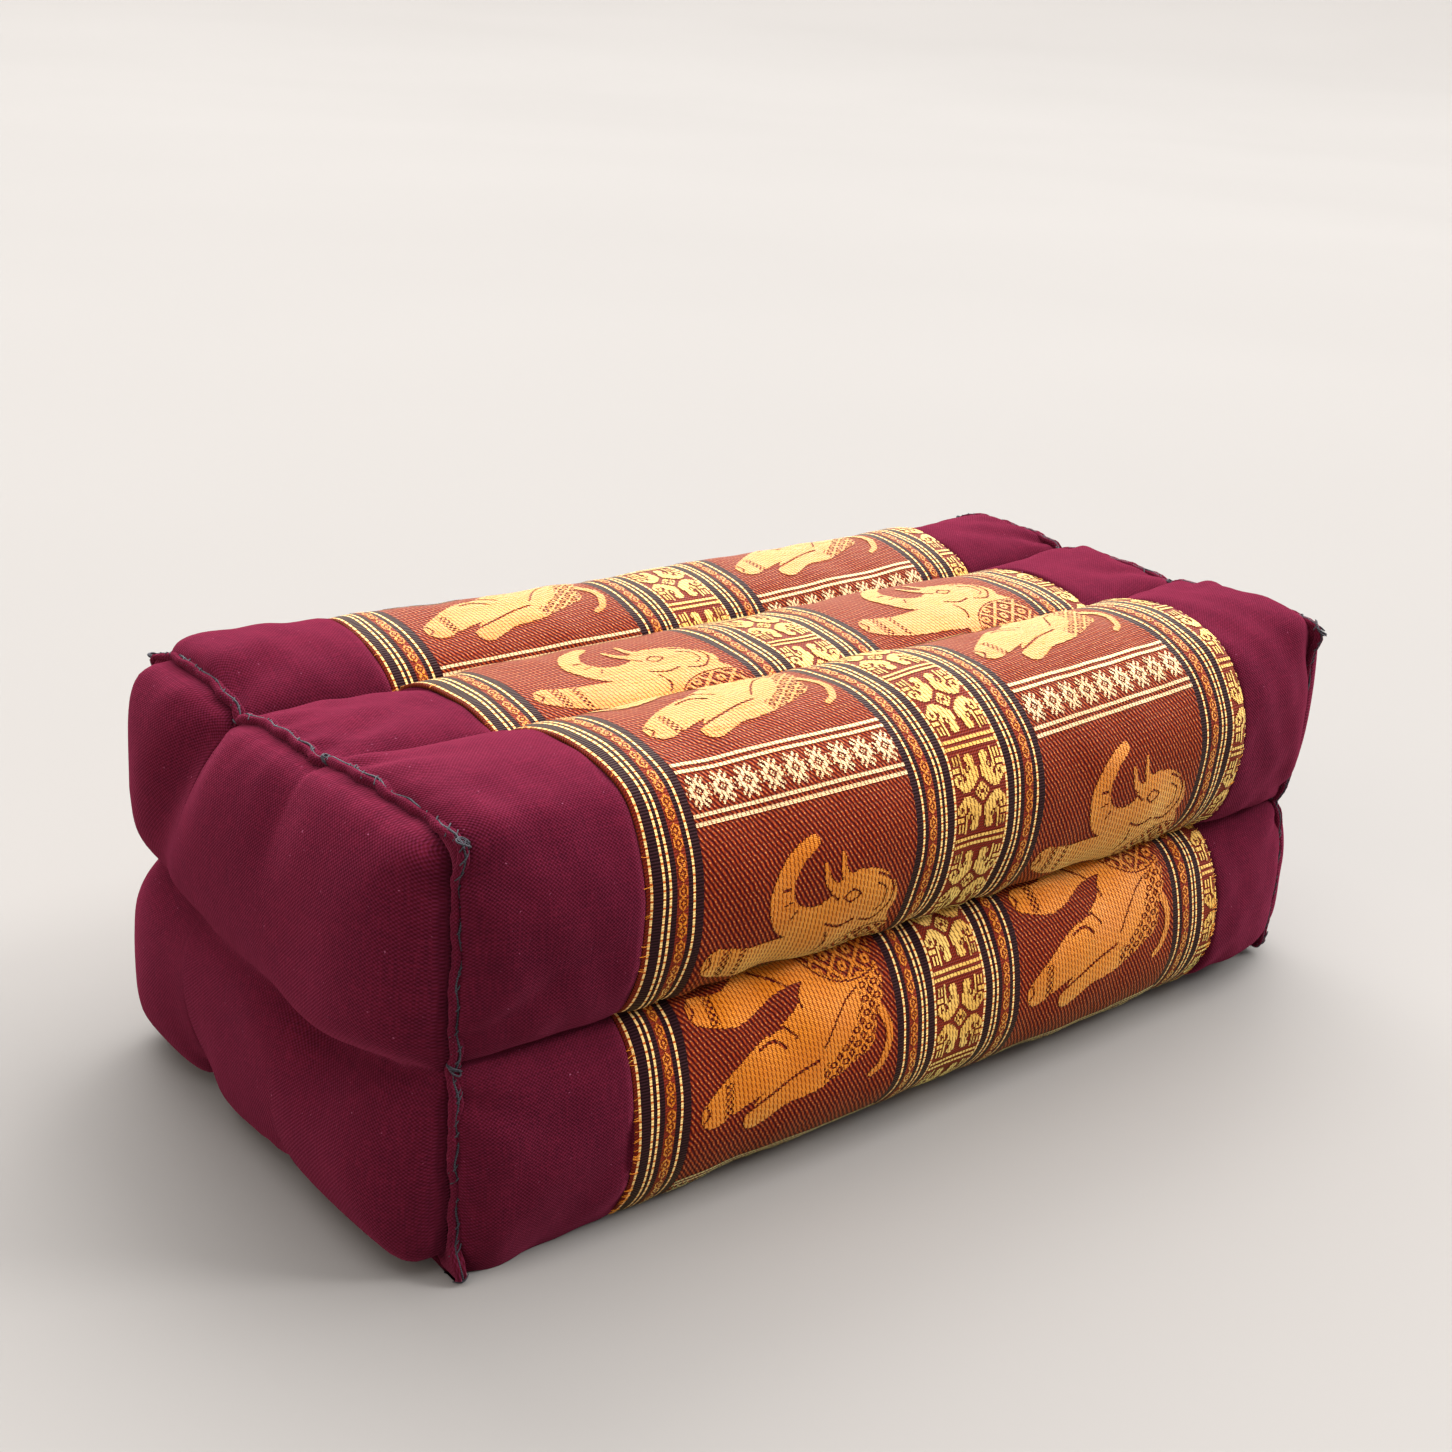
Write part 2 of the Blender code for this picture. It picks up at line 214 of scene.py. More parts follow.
def round_gap(v, centre):
    """Distance round the girth from centre, with its sign."""
    return (v - centre + GIRTH / 2) % GIRTH - GIRTH / 2


# Steps of the loop at its grooves and creases
AT_CREST_F = STEPS_SIDE + STEPS_SHOULDER
AT_GROOVE_F = AT_CREST_F + STEPS_INTO_GROOVE
AT_GROOVE_B = AT_GROOVE_F + 2 * STEPS_MIDDLE_TUBE
AT_BACK = AT_GROOVE_B + STEPS_INTO_GROOVE + STEPS_SHOULDER + STEPS_SIDE
AT_LOW_B = AT_BACK + STEPS_SIDE + STEPS_SHOULDER + STEPS_INTO_GROOVE
AT_LOW_F = AT_LOW_B + 2 * STEPS_MIDDLE_TUBE
VALLEYS = [ARC[i] for i in (0, AT_GROOVE_F, AT_GROOVE_B, AT_BACK, AT_LOW_B, AT_LOW_F)]

Tuck = namedtuple("Tuck", "at width height length slant")


def seam_tucks(end):
    """The small folds that the end seam gathers into the cotton, on both sides of it."""
    draw = np.random.default_rng(41 + end)
    tucks = []
    for _ in range(40):
        tucks.append(Tuck(
            at=draw.uniform(0, GIRTH), width=draw.uniform(2.2, 5.0) * MM,
            height=draw.choice((-1, 1), p=(0.62, 0.38)) * draw.uniform(0.3, 0.8) * MM,
            length=draw.uniform(8, 24) * MM, slant=draw.uniform(-0.5, 0.5)))
    for valley in VALLEYS:
        # the tubes are drawn together where a groove meets the seam
        for side in (-1, 1):
            tucks.append(Tuck(
                at=valley + side * draw.uniform(8, 12) * MM, width=3.6 * MM,
                height=-1.5 * MM, length=draw.uniform(22, 34) * MM, slant=side * 0.55))
    return tucks


TUCKS = {-1: seam_tucks(-1), 1: seam_tucks(1)}


def tucked(v, away, end, count=None):
    """How far the cotton stands out at v round the seam and away from it."""
    total = np.zeros(np.broadcast(v, away).shape)
    for t in TUCKS[end][:count]:
        across = round_gap(v, t.at + t.slant * away) / (t.width * (1 + away / t.length))
        along = np.exp(-(away / t.length) ** 2) * (1 - np.exp(-away / (1.5 * MM)))
        total += t.height * np.exp(-across ** 2) * along
    return total


def sleeve_relief(x, v):
    """Dents and tucks of the cotton sleeve, in metres along its normal."""
    relief = 0.0007 * soft_waves(x, v, 0.05, 5) + 0.0003 * soft_waves(x, v, 0.016, 6)
    for end in (-1, 1):
        away = np.maximum(HALF_LENGTH - end * x, 0)
        relief = relief + tucked(v, away, end)
    # the brocade's sewn edge draws the cotton down beside it
    edge = np.abs(np.abs(x) - BROCADE_WIDTH / 2)
    relief = relief - 0.0006 * np.exp(-(edge / 0.0025) ** 2)
    return relief * clear_of_valleys(v)


def brocade_relief(x, v):
    """Soft unevenness of the stiffer brocade."""
    relief = 0.00045 * soft_waves(x, v, 0.06, 11) + 0.00022 * soft_waves(x, v, 0.02, 12)
    inside = BROCADE_WIDTH / 2 - np.abs(x)
    relief = relief - 0.0004 * np.exp(-(inside / 0.003) ** 2)
    # short cross tucks where the cloth is drawn into the side creases
    for valley in (VALLEYS[0], VALLEYS[3]):
        near = np.exp(-(round_gap(v, valley) / 0.02) ** 2)
        relief = relief + 0.0005 * near * np.sin(x / 0.0032 + 3 * np.sin(x / 0.017))
    return relief * clear_of_valleys(v)


def clear_of_valleys(v):
    """0 in the grooves, where tube presses on tube, and 1 away from them."""
    clear = 1.0
    for valley in VALLEYS:
        clear = clear * (1 - np.exp(-(round_gap(v, valley) / 0.004) ** 2))
    return clear


def resting(points, lowest=0.0):
    """The points pressed flat on the floor, or lifted to rest a little above it."""
    points = points.copy()
    points[..., 2] = np.maximum(points[..., 2], lowest)
    return points


# Meshes

def link_in(name, data):
    """One new object of the scene."""
    made = bpy.data.objects.new(name, data)
    bpy.context.scene.collection.objects.link(made)
    return made


def make_piece(name, points, faces, uv, material):
    """One smooth mesh object; uv holds a pair for each point."""
    mesh = bpy.data.meshes.new(name)
    mesh.from_pydata([tuple(p) for p in points], [], [tuple(f) for f in faces])
    layer = mesh.uv_layers.new(name="cloth")
    corners = np.empty(len(mesh.loops), dtype=np.int32)
    mesh.loops.foreach_get("vertex_index", corners)
    layer.data.foreach_set("uv", np.asarray(uv, dtype=np.float32)[corners].ravel())
    mesh.materials.append(material)
    mesh.shade_smooth()
    mesh.update()
    return link_in(name, mesh)


def strip_faces(rows, columns, first=0, closed=True, flip=False):
    """Quads of a grid of points numbered row by row."""
    count = columns if closed else columns - 1
    faces = []
    for i in range(rows - 1):
        for j in range(count):
            a = first + i * columns + j
            b = first + i * columns + (j + 1) % columns
            quad = (a, a + columns, b + columns, b)
            faces.append(quad[::-1] if flip else quad)
    return faces


def tube_faces(rings, sides, first=0, closed=False):
    """Quads of a tube whose points are numbered ring by ring."""
    faces = []
    for i in range(rings if closed else rings - 1):
        near, far = first + i * sides, first + (i + 1) % rings * sides
        for j in range(sides):
            m = (j + 1) % sides
            faces.append((near + j, near + m, far + m, far + j))
    return faces


def cloth_uv(grid):
    """Distance along and round the cushion for each point of a sleeve grid."""
    return np.column_stack((grid[:, :, 0].ravel(), np.tile(ARC[:-1], len(grid))))


def plain_sleeve(material):
    """The stuffed cotton form: full bands, and a set-back waist under the brocade."""
    waist_edge = BROCADE_WIDTH / 2 + 0.45 * MM
    share = np.linspace(0, 1, STATIONS_BAND) ** 1.6      # closer together near the seam
    left = -HALF_LENGTH + (HALF_LENGTH - waist_edge) * share
    shown = [sleeve_grid(stations) for stations in (left, -left[::-1])]
    parts = []
    for grid in shown:
        relief = sleeve_relief(grid[:, :, 0], ARC[None, :-1])
        moved = grid + facing(grid, True) * relief[:, :, None]
        at_seam = np.abs(grid[:, :, 0]) > HALF_LENGTH - 1 * MM
        moved[:, :, 0] = np.where(at_seam, grid[:, :, 0], moved[:, :, 0])
        parts.append(moved)
    hidden = sleeve_grid(np.linspace(-waist_edge, waist_edge, STATIONS_WAIST), UNDER_BROCADE)
    # each end is closed behind its end cloth, a little way in
    caps = (cap_rings(shown[0][0], -1), cap_rings(shown[1][-1], 1)[::-1])
    grid = resting(np.concatenate((caps[0], parts[0], hidden, parts[1], caps[1])))
    rows = len(grid)
    points = list(grid.reshape(-1, 3))
    faces = strip_faces(rows, AROUND)
    for row, ahead in ((0, False), (rows - 1, True)):
        middle = len(points)
        points.append(grid[row].mean(axis=0))
        for j in range(AROUND):
            a = row * AROUND + j
            b = row * AROUND + (j + 1) % AROUND
            faces.append((b, middle, a) if ahead else (a, middle, b))
    uv = np.vstack((cloth_uv(grid), np.zeros((2, 2))))
    return make_piece("plain_sleeve", points, faces, uv, material)


def cap_rings(ring, end):
    """Rings that close the stuffed form inside its end cloth."""
    centre = np.array((0, ring[:, 1].mean(), ring[:, 2].mean()))
    rings = []
    for share in (0.15, 0.4, 0.7, 0.93):
        shrunk = centre + (ring - centre) * share
        bulge = 8 * MM * (1 - share ** 4) ** 0.5 - 1.5 * MM
        shrunk[:, 0] = ring[0, 0] + end * bulge
        rings.append(shrunk)
    return np.array(rings)


BROCADE_X = np.linspace(-BROCADE_WIDTH / 2, BROCADE_WIDTH / 2, STATIONS_BROCADE)


def brocade_surface():
    """Outer face of the brocade, with its unevenness, before it rests on the floor."""
    grid = sleeve_grid(BROCADE_X)
    relief = brocade_relief(grid[:, :, 0], ARC[None, :-1])
    return grid + facing(grid, True) * relief[:, :, None]


def brocade_sleeve(outer, material):
    """The patterned sheet: outer face, inner face and turned edges."""
    inner = outer - facing(outer, True) * BROCADE_THICKNESS
    inner[:, :, 0] = outer[:, :, 0]
    inner = resting(inner, BROCADE_THICKNESS)
    rows = len(outer)
    points = np.concatenate((outer.reshape(-1, 3), inner.reshape(-1, 3)))
    first = rows * AROUND
    faces = strip_faces(rows, AROUND) + strip_faces(rows, AROUND, first, flip=True)
    last = first - AROUND
    for j in range(AROUND):
        k = (j + 1) % AROUND
        faces.append((j, k, first + k, first + j))
        faces.append((last + k, last + j, first + last + j, first + last + k))
    return make_piece("brocade_sleeve", points, faces, np.tile(cloth_uv(outer), (2, 1)), material)


# The puffed ends

END_WEAVE = (0.17, 0.125)      # breadth and height of the weave on an end cloth

HALF_SHOULDER = STEPS_SHOULDER // 2
ALONG_TOP = 2 * (HALF_SHOULDER + STEPS_INTO_GROOVE + STEPS_MIDDLE_TUBE)
UP_SIDE = 2 * (HALF_SHOULDER + STEPS_SIDE)
FRONT_TOP = STEPS_SIDE + HALF_SHOULDER
BACK_TOP = FRONT_TOP + ALONG_TOP
BACK_LOW = BACK_TOP + UP_SIDE
FRONT_LOW = BACK_LOW + ALONG_TOP
CORNERS = (FRONT_TOP, BACK_TOP, BACK_LOW, FRONT_LOW % AROUND)


def spanned(loop):
    """Grid of (y, z) points spanning the inside of a loop."""
    def stretch(first, last):
        return loop[[i % AROUND for i in range(first, last + 1)]]
    top = stretch(FRONT_TOP, BACK_TOP)
    back = stretch(BACK_TOP, BACK_LOW)[::-1]
    low = stretch(BACK_LOW, FRONT_LOW)[::-1]
    front = stretch(FRONT_LOW, FRONT_LOW + UP_SIDE)
    p = np.linspace(0, 1, ALONG_TOP + 1)[:, None, None]
    q = np.linspace(0, 1, UP_SIDE + 1)[None, :, None]
    grid = (1 - q) * low[:, None] + q * top[:, None] + (1 - p) * front[None] + p * back[None]
    grid = grid - (1 - p) * ((1 - q) * front[0] + q * front[-1])
    return grid - p * ((1 - q) * back[0] + q * back[-1])


def bump(value, middle, width):
    """1 at the middle, falling off to both sides over about the width."""
    return np.exp(-((value - middle) / width) ** 2)


def rounded(share):
    """Height of a puffed shoulder: 0 at its foot, 1 from its full reach on."""
    return np.sqrt(1 - (1 - np.clip(share, 0, 1)) ** 2.1)


def eased(value, low, high):
    """0 below low, 1 above high, smooth between."""
    share = np.clip((value - low) / (high - low), 0, 1)
    return share * share * (3 - 2 * share)


def softened(grid, keep, times):
    """The grid averaged with its neighbours a few times, but left alone where keep is 1."""
    result = grid
    for _ in range(times):
        wide = np.pad(result, ((1, 1), (1, 1)), mode="edge")
        result = (wide[1:-1, 1:-1] * 2 + wide[:-2, 1:-1] + wide[2:, 1:-1]
                  + wide[1:-1, :-2] + wide[1:-1, 2:]) / 6
    return grid * keep + result * (1 - keep)


def end_crown(y, z, away):
    """How far the end stands out, 0 to 1, at y and z on it, away from its seam (mm)."""
    # upper and lower tubes meet in a crease that sags and fills out in the middle
    crease = 60 - 7 * bump(y, -30, 24)
    depth = 0.36 + 0.40 * eased(y, 12, 60) + 0.56 * eased(-y, -6, 34)
    lip = 17 - 4 * eased(-y, 0, 40)
    crown = 1 - depth * (1 - rounded(np.hypot(z - crease, 1.2) / lip))
    # the back groove carries on down the end, curving back as it fades
    down = np.clip((114 - z) / 50, 0, 1)
    valley = 36 + 24 * down ** 1.5
    groove = 0.36 * (1 - 0.45 * down) * bump(y, valley, 9.5) * eased(z, 52, 70)
    # the front groove only dents it near the seam
    dent = 0.12 * bump(y, -14, 9) * eased(z, 84, 112)
    # towards the front the lower tube is set back under the upper one
    under = bump(np.maximum(crease - z, 0), 0, 17) * (z < crease) * eased(-y, 0, 46)
    return rounded(away / 32) * crown * (1 - groove) * (1 - dent) * (1 - 0.38 * under)


def end_surface(end):
    """Outer face of an end cloth; it bellies out past its seam at the back and below."""
    loop = SEAM_LOOPS[end]
    rim = spanned(loop)
    gaps = np.linalg.norm(rim[:, :, None] - loop, axis=3)
    nearest = gaps.argmin(axis=2)
    away = gaps.min(axis=2)
    lowest, highest = loop.min(axis=0), loop.max(axis=0)
    share = (2 * rim - lowest - highest) / (highest - lowest)
    back, up = share[:, :, 0], share[:, :, 1]
    # fullest half way up each tube
    back_belly = np.where(back > 0, 12.5, 3) * (1 - 0.8 * (2 * np.abs(up) - 1) ** 2)
    low_belly = np.where(up > 0, 3, 9) * (1 - 0.5 * back ** 4)
    # the cloth hangs below the back groove's cut in its rim
    low_belly = low_belly + 8 * bump(rim[:, :, 0] / MM, 36, 15) * (up < 0)
    clear = (1 - np.exp(-away / (3.6 * MM)))[:, :, None]
    moved = rim + clear * np.stack((back_belly, low_belly), axis=2) * MM * share ** 3
    soft = softened(away, np.exp(-away / (4 * MM)), 12)
    crown = end_crown(rim[:, :, 0] / MM, rim[:, :, 1] / MM, soft / MM)
    crown = softened(crown, np.exp(-away / (2 * MM)), 2)
    x = end * (HALF_LENGTH + END_CROWN * crown)
    grid = np.concatenate((x[:, :, None], moved), axis=2)
    relief = 0.5 * tucked(ARC[nearest], 1.6 * away, end, count=40)
    waves = soft_waves(rim[:, :, 0], rim[:, :, 1], 0.055, 21 + end)
    relief += 0.0008 * waves * np.clip(away / 0.01, 0, 1)
    return resting(grid + facing(grid, False) * end * relief[:, :, None])


def end_cloth(name, end, material):
    """The puffed cotton that closes one end, a thin closed shell."""
    outer = end_surface(end)
    inner = outer - facing(outer, False) * end * END_THICKNESS
    inner = resting(inner, END_THICKNESS)
    rows, columns = outer.shape[:2]
    first = rows * columns
    points = np.concatenate((outer.reshape(-1, 3), inner.reshape(-1, 3)))
    faces = strip_faces(rows, columns, 0, closed=False, flip=end < 0)
    faces += strip_faces(rows, columns, first, closed=False, flip=end > 0)
    number = np.arange(first).reshape(rows, columns)
    rim = [*number[:, 0], *number[-1, 1:], *number[-2::-1, -1], *number[0, -2:0:-1]]
    for a, b in zip(rim, rim[1:] + rim[:1]):
        quad = (a, b, first + b, first + a)
        faces.append(quad if end < 0 else quad[::-1])
    p = np.repeat(np.linspace(0, END_WEAVE[0], rows), columns)
    q = np.tile(np.linspace(0, END_WEAVE[1], columns), rows)
    uv = np.column_stack((p, q))
    return make_piece(name, points, faces, np.tile(uv, (2, 1)), material)


# The overcast seam

# Height of each ear in mm, in the order of CORNERS
EARS = {-1: (4.2, 8.5, 4.2, 8.5), 1: (4.2, 4.2, 4.2, 4.2)}
STITCH_PITCH = 3.1 * MM
THREAD_SIDES = 5
THREAD_LIFT = 0.1 * MM

# Weft ends frayed out of each edge of the brocade
FRAYS = 420                    # at most
MOST_FRAYED_FROM = 560         # mm round the girth, where the lower front tube begins
FRAYED_ELSEWHERE = 0.12        # share of them that the other tubes have


def seam_path(end):
    """Path along the top of the seam, its outward directions, how far it sways along the
    cushion, and ear shares."""
    loop = SEAM_LOOPS[end]
    draw = np.random.default_rng(70 + end)
    run = run_round(loop)[:-1]
    out = unit(moved_inward(loop, -1 * MM) - loop)
    ear = np.zeros(AROUND)
    tall = np.zeros(AROUND)
    for corner, height in zip(CORNERS, EARS[end]):
        gap = (np.arange(AROUND) - corner + AROUND // 2) % AROUND - AROUND // 2
        share = bump(gap, 0, 2.2)
        ear = np.maximum(ear, share)
        tall = np.maximum(tall, height * MM * share)
    waves = np.zeros(AROUND)
    for wavelength in (37, 21, 12.5):
        turn = round(run[-1] / (wavelength * MM))
        waves += np.sin(2 * np.pi * turn * run / run[-1] + draw.uniform(0, 2 * np.pi))
    lift = 1.2 * MM + 0.14 * MM * waves + tall
    return loop + out * lift[:, None], out, 0.3 * MM * np.roll(waves, 9), ear


def ear_webs(end):
    """The doubled cotton inside each ear: a ring of four points at every step across it."""
    path, out, sway = seam_path(end)[:3]
    rings = []
    for corner in CORNERS:
        near = (corner + np.arange(-6, 7)) % AROUND
        x = (end * SEAM_LINE + sway[near])[:, None] + np.array((0.7, -0.7, -0.7, 0.7)) * MM
        inner = SEAM_LOOPS[end][near] - out[near] * MM
        edges = np.stack((path[near], path[near], inner, inner), axis=1)
        rings.append(resting(np.dstack((x, edges)), SEAM_LIFT))
    return rings


def overcast_seam(name, end, material):
    """The two rolled lips of the seam, side by side, as one swept closed welt, with the
    doubled cotton that fills its ears."""
    path, out, sway, ear = seam_path(end)
    turn = np.linspace(0, 2 * np.pi, 20, endpoint=False)
    sides = len(turn)
    notch = 1 - 0.55 * bump(np.cos(turn), 0, 0.30)
    across = 1.75 * MM * np.cos(turn)
    high = 1.35 * MM * np.sin(turn) * np.where(np.sin(turn) > 0, notch, 1.5)
    steps = np.arange(AROUND)
    draw = np.random.default_rng(90 + end)
    uneven = 1 + 0.10 * np.sin(steps * 0.9 + draw.uniform(0, 6)) + 0.08 * np.sin(steps * 2.1)
    thick = (uneven * (1 - 0.25 * ear))[:, None]
    grid = np.empty((AROUND, sides, 3))
    grid[:, :, 0] = (end * SEAM_LINE + sway)[:, None] + across * thick
    grid[:, :, 1:] = path[:, None] + out[:, None] * (high * thick)[:, :, None]
    faces = tube_faces(AROUND, sides, closed=True)
    run = run_round(SEAM_LOOPS[end])[:-1]
    points = [resting(grid, SEAM_LIFT).reshape(-1, 3)]
    uv = [np.column_stack((np.repeat(run, sides), np.tile(turn * 1.5 * MM, AROUND)))]
    for ring in ear_webs(end):
        first = sum(len(part) for part in points)
        last = first + 4 * (len(ring) - 1)
        faces += strip_faces(len(ring), 4, first)
        faces += [range(first, first + 4), range(last + 3, last - 1, -1)]
        points.append(ring.reshape(-1, 3))
        uv.append(points[-1][:, 1:])
    return make_piece(name, np.concatenate(points), faces, np.concatenate(uv), material)


def bent_thread_tree():
    """Lays one bent length of thread at every point, across the point's direction."""
    tree = bpy.data.node_groups.new("bent_threads", "GeometryNodeTree")
    sockets = {"Geometry": "Geometry", "Half length": "Float", "Height": "Float",
               "Slant": "Float", "Thread radius": "Float", "Seed": "Int", "Yarn": "Material"}
    for name, kind in sockets.items():
        tree.interface.new_socket(name, in_out="INPUT", socket_type="NodeSocket" + kind)
    tree.interface.new_socket("Geometry", in_out="OUTPUT", socket_type="NodeSocketGeometry")
    given = tree.nodes.new("NodeGroupInput").outputs
    back, lean = (add(tree, MATH, {0: given[name], 1: -1.0}, operation="MULTIPLY")
                  for name in ("Half length", "Slant"))
    line = add(tree, "GeometryNodeCurveQuadraticBezier", {
        "Resolution": 5,
        "Start": add(tree, "ShaderNodeCombineXYZ", {0: back, 1: lean}),
        "Middle": add(tree, "ShaderNodeCombineXYZ", {2: given["Height"]}),
        "End": add(tree, "ShaderNodeCombineXYZ", {0: given["Half length"], 1: given["Slant"]})})
    ring = add(tree, "GeometryNodeCurvePrimitiveCircle",
               {"Resolution": 5, "Radius": given["Thread radius"]})
    strand = add(tree, "GeometryNodeCurveToMesh",
                 {"Curve": line, "Profile Curve": ring, "Fill Caps": True})
    out, along = (add(tree, "GeometryNodeInputNamedAttribute", {"Name": name},
                      data_type="FLOAT_VECTOR") for name in ("out", "along"))
    turn = add(tree, "FunctionNodeAxesToRotation", {0: out, 1: along},
               primary_axis="Z", secondary_axis="Y")
    size = add(tree, "FunctionNodeRandomValue", {2: 0.7, 3: 1.25, "Seed": given["Seed"]},
               out=1, data_type="FLOAT")
    laid = add(tree, "GeometryNodeInstanceOnPoints", {
        "Points": given["Geometry"], "Instance": strand, "Rotation": turn, "Scale": size})
    real = add(tree, "GeometryNodeRealizeInstances", {"Geometry": laid})
    done = add(tree, "GeometryNodeSetMaterial", {"Geometry": real, "Material": given["Yarn"]})
    add(tree, "NodeGroupOutput", {"Geometry": done}, out=None)
    return tree


def laid_threads(name, tree, points, along, out, sizes, seed, yarn):
    """A plain mesh of the threads that the tree lays at the points."""
    mesh = bpy.data.meshes.new(name + "_points")
    mesh.from_pydata([tuple(p) for p in points], [], [])
    for label, values in (("along", along), ("out", out)):
        layer = mesh.attributes.new(label, "FLOAT_VECTOR", "POINT")
        layer.data.foreach_set("vector", np.asarray(values, dtype=np.float32).ravel())
    holder = link_in(name + "_points", mesh)
    modifier = holder.modifiers.new("threads", "NODES")
    modifier.node_group = tree
    labels = ("Half length", "Height", "Slant", "Thread radius")
    given = dict(zip(labels, sizes), Seed=seed, Yarn=yarn)
    for item in tree.interface.items_tree:
        if item.in_out == "INPUT" and item.name in given:
            modifier[item.identifier] = given[item.name]
    shown = holder.evaluated_get(bpy.context.evaluated_depsgraph_get())
    made_mesh = bpy.data.meshes.new_from_object(shown)
    made_mesh.name = name
    for vertex in made_mesh.vertices:
        vertex.co.z = max(vertex.co.z, THREAD_LIFT)
    bpy.data.objects.remove(holder, do_unlink=True)
    made_mesh.shade_smooth()
    return link_in(name, made_mesh)


def seam_stitches(name, end, tree, yarn):
    """Overcast stitches over the seam's lips, unevenly spaced by hand."""
    path, out, sway = seam_path(end)[:3]
    draw = np.random.default_rng(120 + end)
    run = run_round(path)
    at = np.arange(0, run[-1] - 1 * MM, STITCH_PITCH)
    at = at + draw.uniform(-1.2, 1.2, len(at)) * MM
    i = np.interp(at % run[-1], run, np.arange(AROUND + 1)).astype(int) % AROUND
    points = np.column_stack((end * SEAM_LINE + sway[i], path[i] + out[i] * 0.1 * MM))
    flat = np.zeros(len(i))
    along = np.column_stack((flat, path[(i + 1) % AROUND] - path[i]))
    outward = np.column_stack((flat, out[i]))
    sizes = (1.35 * MM, 1.9 * MM, 1.3 * MM, 0.17 * MM)
    return laid_threads(name, tree, resting(points, 1.0 * MM), along, outward, sizes, 3, yarn)


def swept_thread(name, lines, radius, yarn):
    """Fine threads swept along smooth lines, as one mesh with closed ends."""
    points = []
    faces = []
    turns = np.arange(THREAD_SIDES) * 2 * np.pi / THREAD_SIDES
    for line in lines:
        ahead = unit(np.gradient(line, axis=0))
        side = unit(np.cross(ahead, (0.31, 0.27, 0.91)))
        up = np.cross(side, ahead)
        first = len(points)
        for k in range(len(line)):
            for turn in turns:
                points.append(line[k] + radius * (np.cos(turn) * side[k] + np.sin(turn) * up[k]))
        faces += tube_faces(len(line), THREAD_SIDES, first)
        last = len(points) - THREAD_SIDES
        faces += [range(first + THREAD_SIDES - 1, first - 1, -1), range(last, len(points))]
    points = resting(np.array(points), THREAD_LIFT)
    return make_piece(name, points, faces, points[:, :2], yarn)


def notch_thread(name, end, yarn):
    """The dark thread that lies in the notch between the seam's two lips."""
    path, out, sway = seam_path(end)[:3]
    steps = np.arange(AROUND + 1) % AROUND
    wobble = 0.25 * MM * np.sin(steps * 0.8) + 0.2 * MM * np.sin(steps * 0.33)
    lift = 0.75 * MM + 0.2 * MM * np.sin(steps * 0.57)[:, None]
    x = end * SEAM_LINE + sway[steps] + wobble
    line = np.column_stack((x, path[steps] + out[steps] * lift))
    return swept_thread(name, [line], 0.3 * MM, yarn)


def seam_knots(name, end, yarn):
    """Small knots of wound thread where the creases and corners meet the seam."""
    path, out = seam_path(end)[:2]
    draw = np.random.default_rng(52 + end)
    lines = []
    for at in (0, FRONT_TOP, AT_GROOVE_F, AT_GROOVE_B, BACK_TOP, AT_BACK):
        middle = np.array((end * SEAM_LINE, *(path[at] + out[at] * 0.6 * MM)))
        for _ in range(3):
            turn = np.linspace(0, draw.uniform(5, 8), 22)
            wide, tall = draw.uniform(1.2, 2.0, 2) * MM
            coil = np.column_stack((wide * np.cos(turn), tall * np.sin(turn),
                                    1.4 * MM * np.sin(turn * draw.uniform(0.5, 0.9))))
            lines.append(middle + coil + draw.uniform(-0.4, 0.4, 3) * MM)
    return swept_thread(name, lines, 0.24 * MM, yarn)


def loose_ends(name, yarn):
    """Thread ends left hanging at the low back corner of the left end."""
    corner = np.array((-0.1678, 0.0835, 0.0075))
    draw = np.random.default_rng(8)
    lines = []
    for _ in range(5):
        reach = draw.uniform(5, 10) * MM
        turn = np.linspace(0, draw.uniform(2.2, 3.6), 18)
        bend = np.column_stack((
            -reach * np.sin(turn) * draw.uniform(0.5, 1.0),
            -reach * (1 - np.cos(turn)) * draw.uniform(0.4, 1.0),
            reach * 0.35 * np.sin(turn * 1.3) - turn * 1.2 * MM))
        lines.append(corner + bend + draw.uniform(-1.2, 1.2, 3) * MM)
    return swept_thread(name, lines, 0.17 * MM, yarn)


def frayed_edge(name, surface, normals, tree, yarn):
    """Weft ends frayed out past the brocade's left and right edges."""
    draw = np.random.default_rng(33)
    points, out, along = [], [], []
    for end in (-1, 1):
        v = np.sort(draw.uniform(0, GIRTH / MM, FRAYS))
        # the lower front tube's edge is the most frayed
        v = v[draw.random(len(v)) < np.where(v > MOST_FRAYED_FROM, 1.0, FRAYED_ELSEWHERE)]
        x = np.full(len(v), end * (BROCADE_WIDTH / MM / 2 - 0.4))
        points.append(on_brocade(surface, normals, x, v, np.full(len(v), 0.12 * MM)))
        normal = on_brocade(surface, normals, x, v, np.full(len(v), 1.0)) - points[-1]
        out.append(normal)
        skew = draw.uniform(-0.5, 0.5, len(v))[:, None]
        ahead = np.array((1.0, 0, 0))
        along.append(unit(np.cross(normal, ahead)) + skew * ahead)
    sizes = (1.1 * MM, 0.4 * MM, 0.15 * MM, 0.09 * MM)
    return laid_threads(name, tree, resting(np.concatenate(points), 0.3 * MM),
                        np.concatenate(along), np.concatenate(out), sizes, 9, yarn)


# Materials

MATH = "ShaderNodeMath"
MIX = "ShaderNodeMix"
RAMP = "ShaderNodeValToRGB"
NOISE = "ShaderNodeTexNoise"
BUMP = "ShaderNodeBump"


def linear(colour):
    """An sRGB hex colour as linear values with alpha."""
    parts = [int(colour[i:i + 2], 16) / 255 for i in (1, 3, 5)]
    return [c / 12.92 if c <= 0.04045 else ((c + 0.055) / 1.055) ** 2.4 for c in parts] + [1.0]


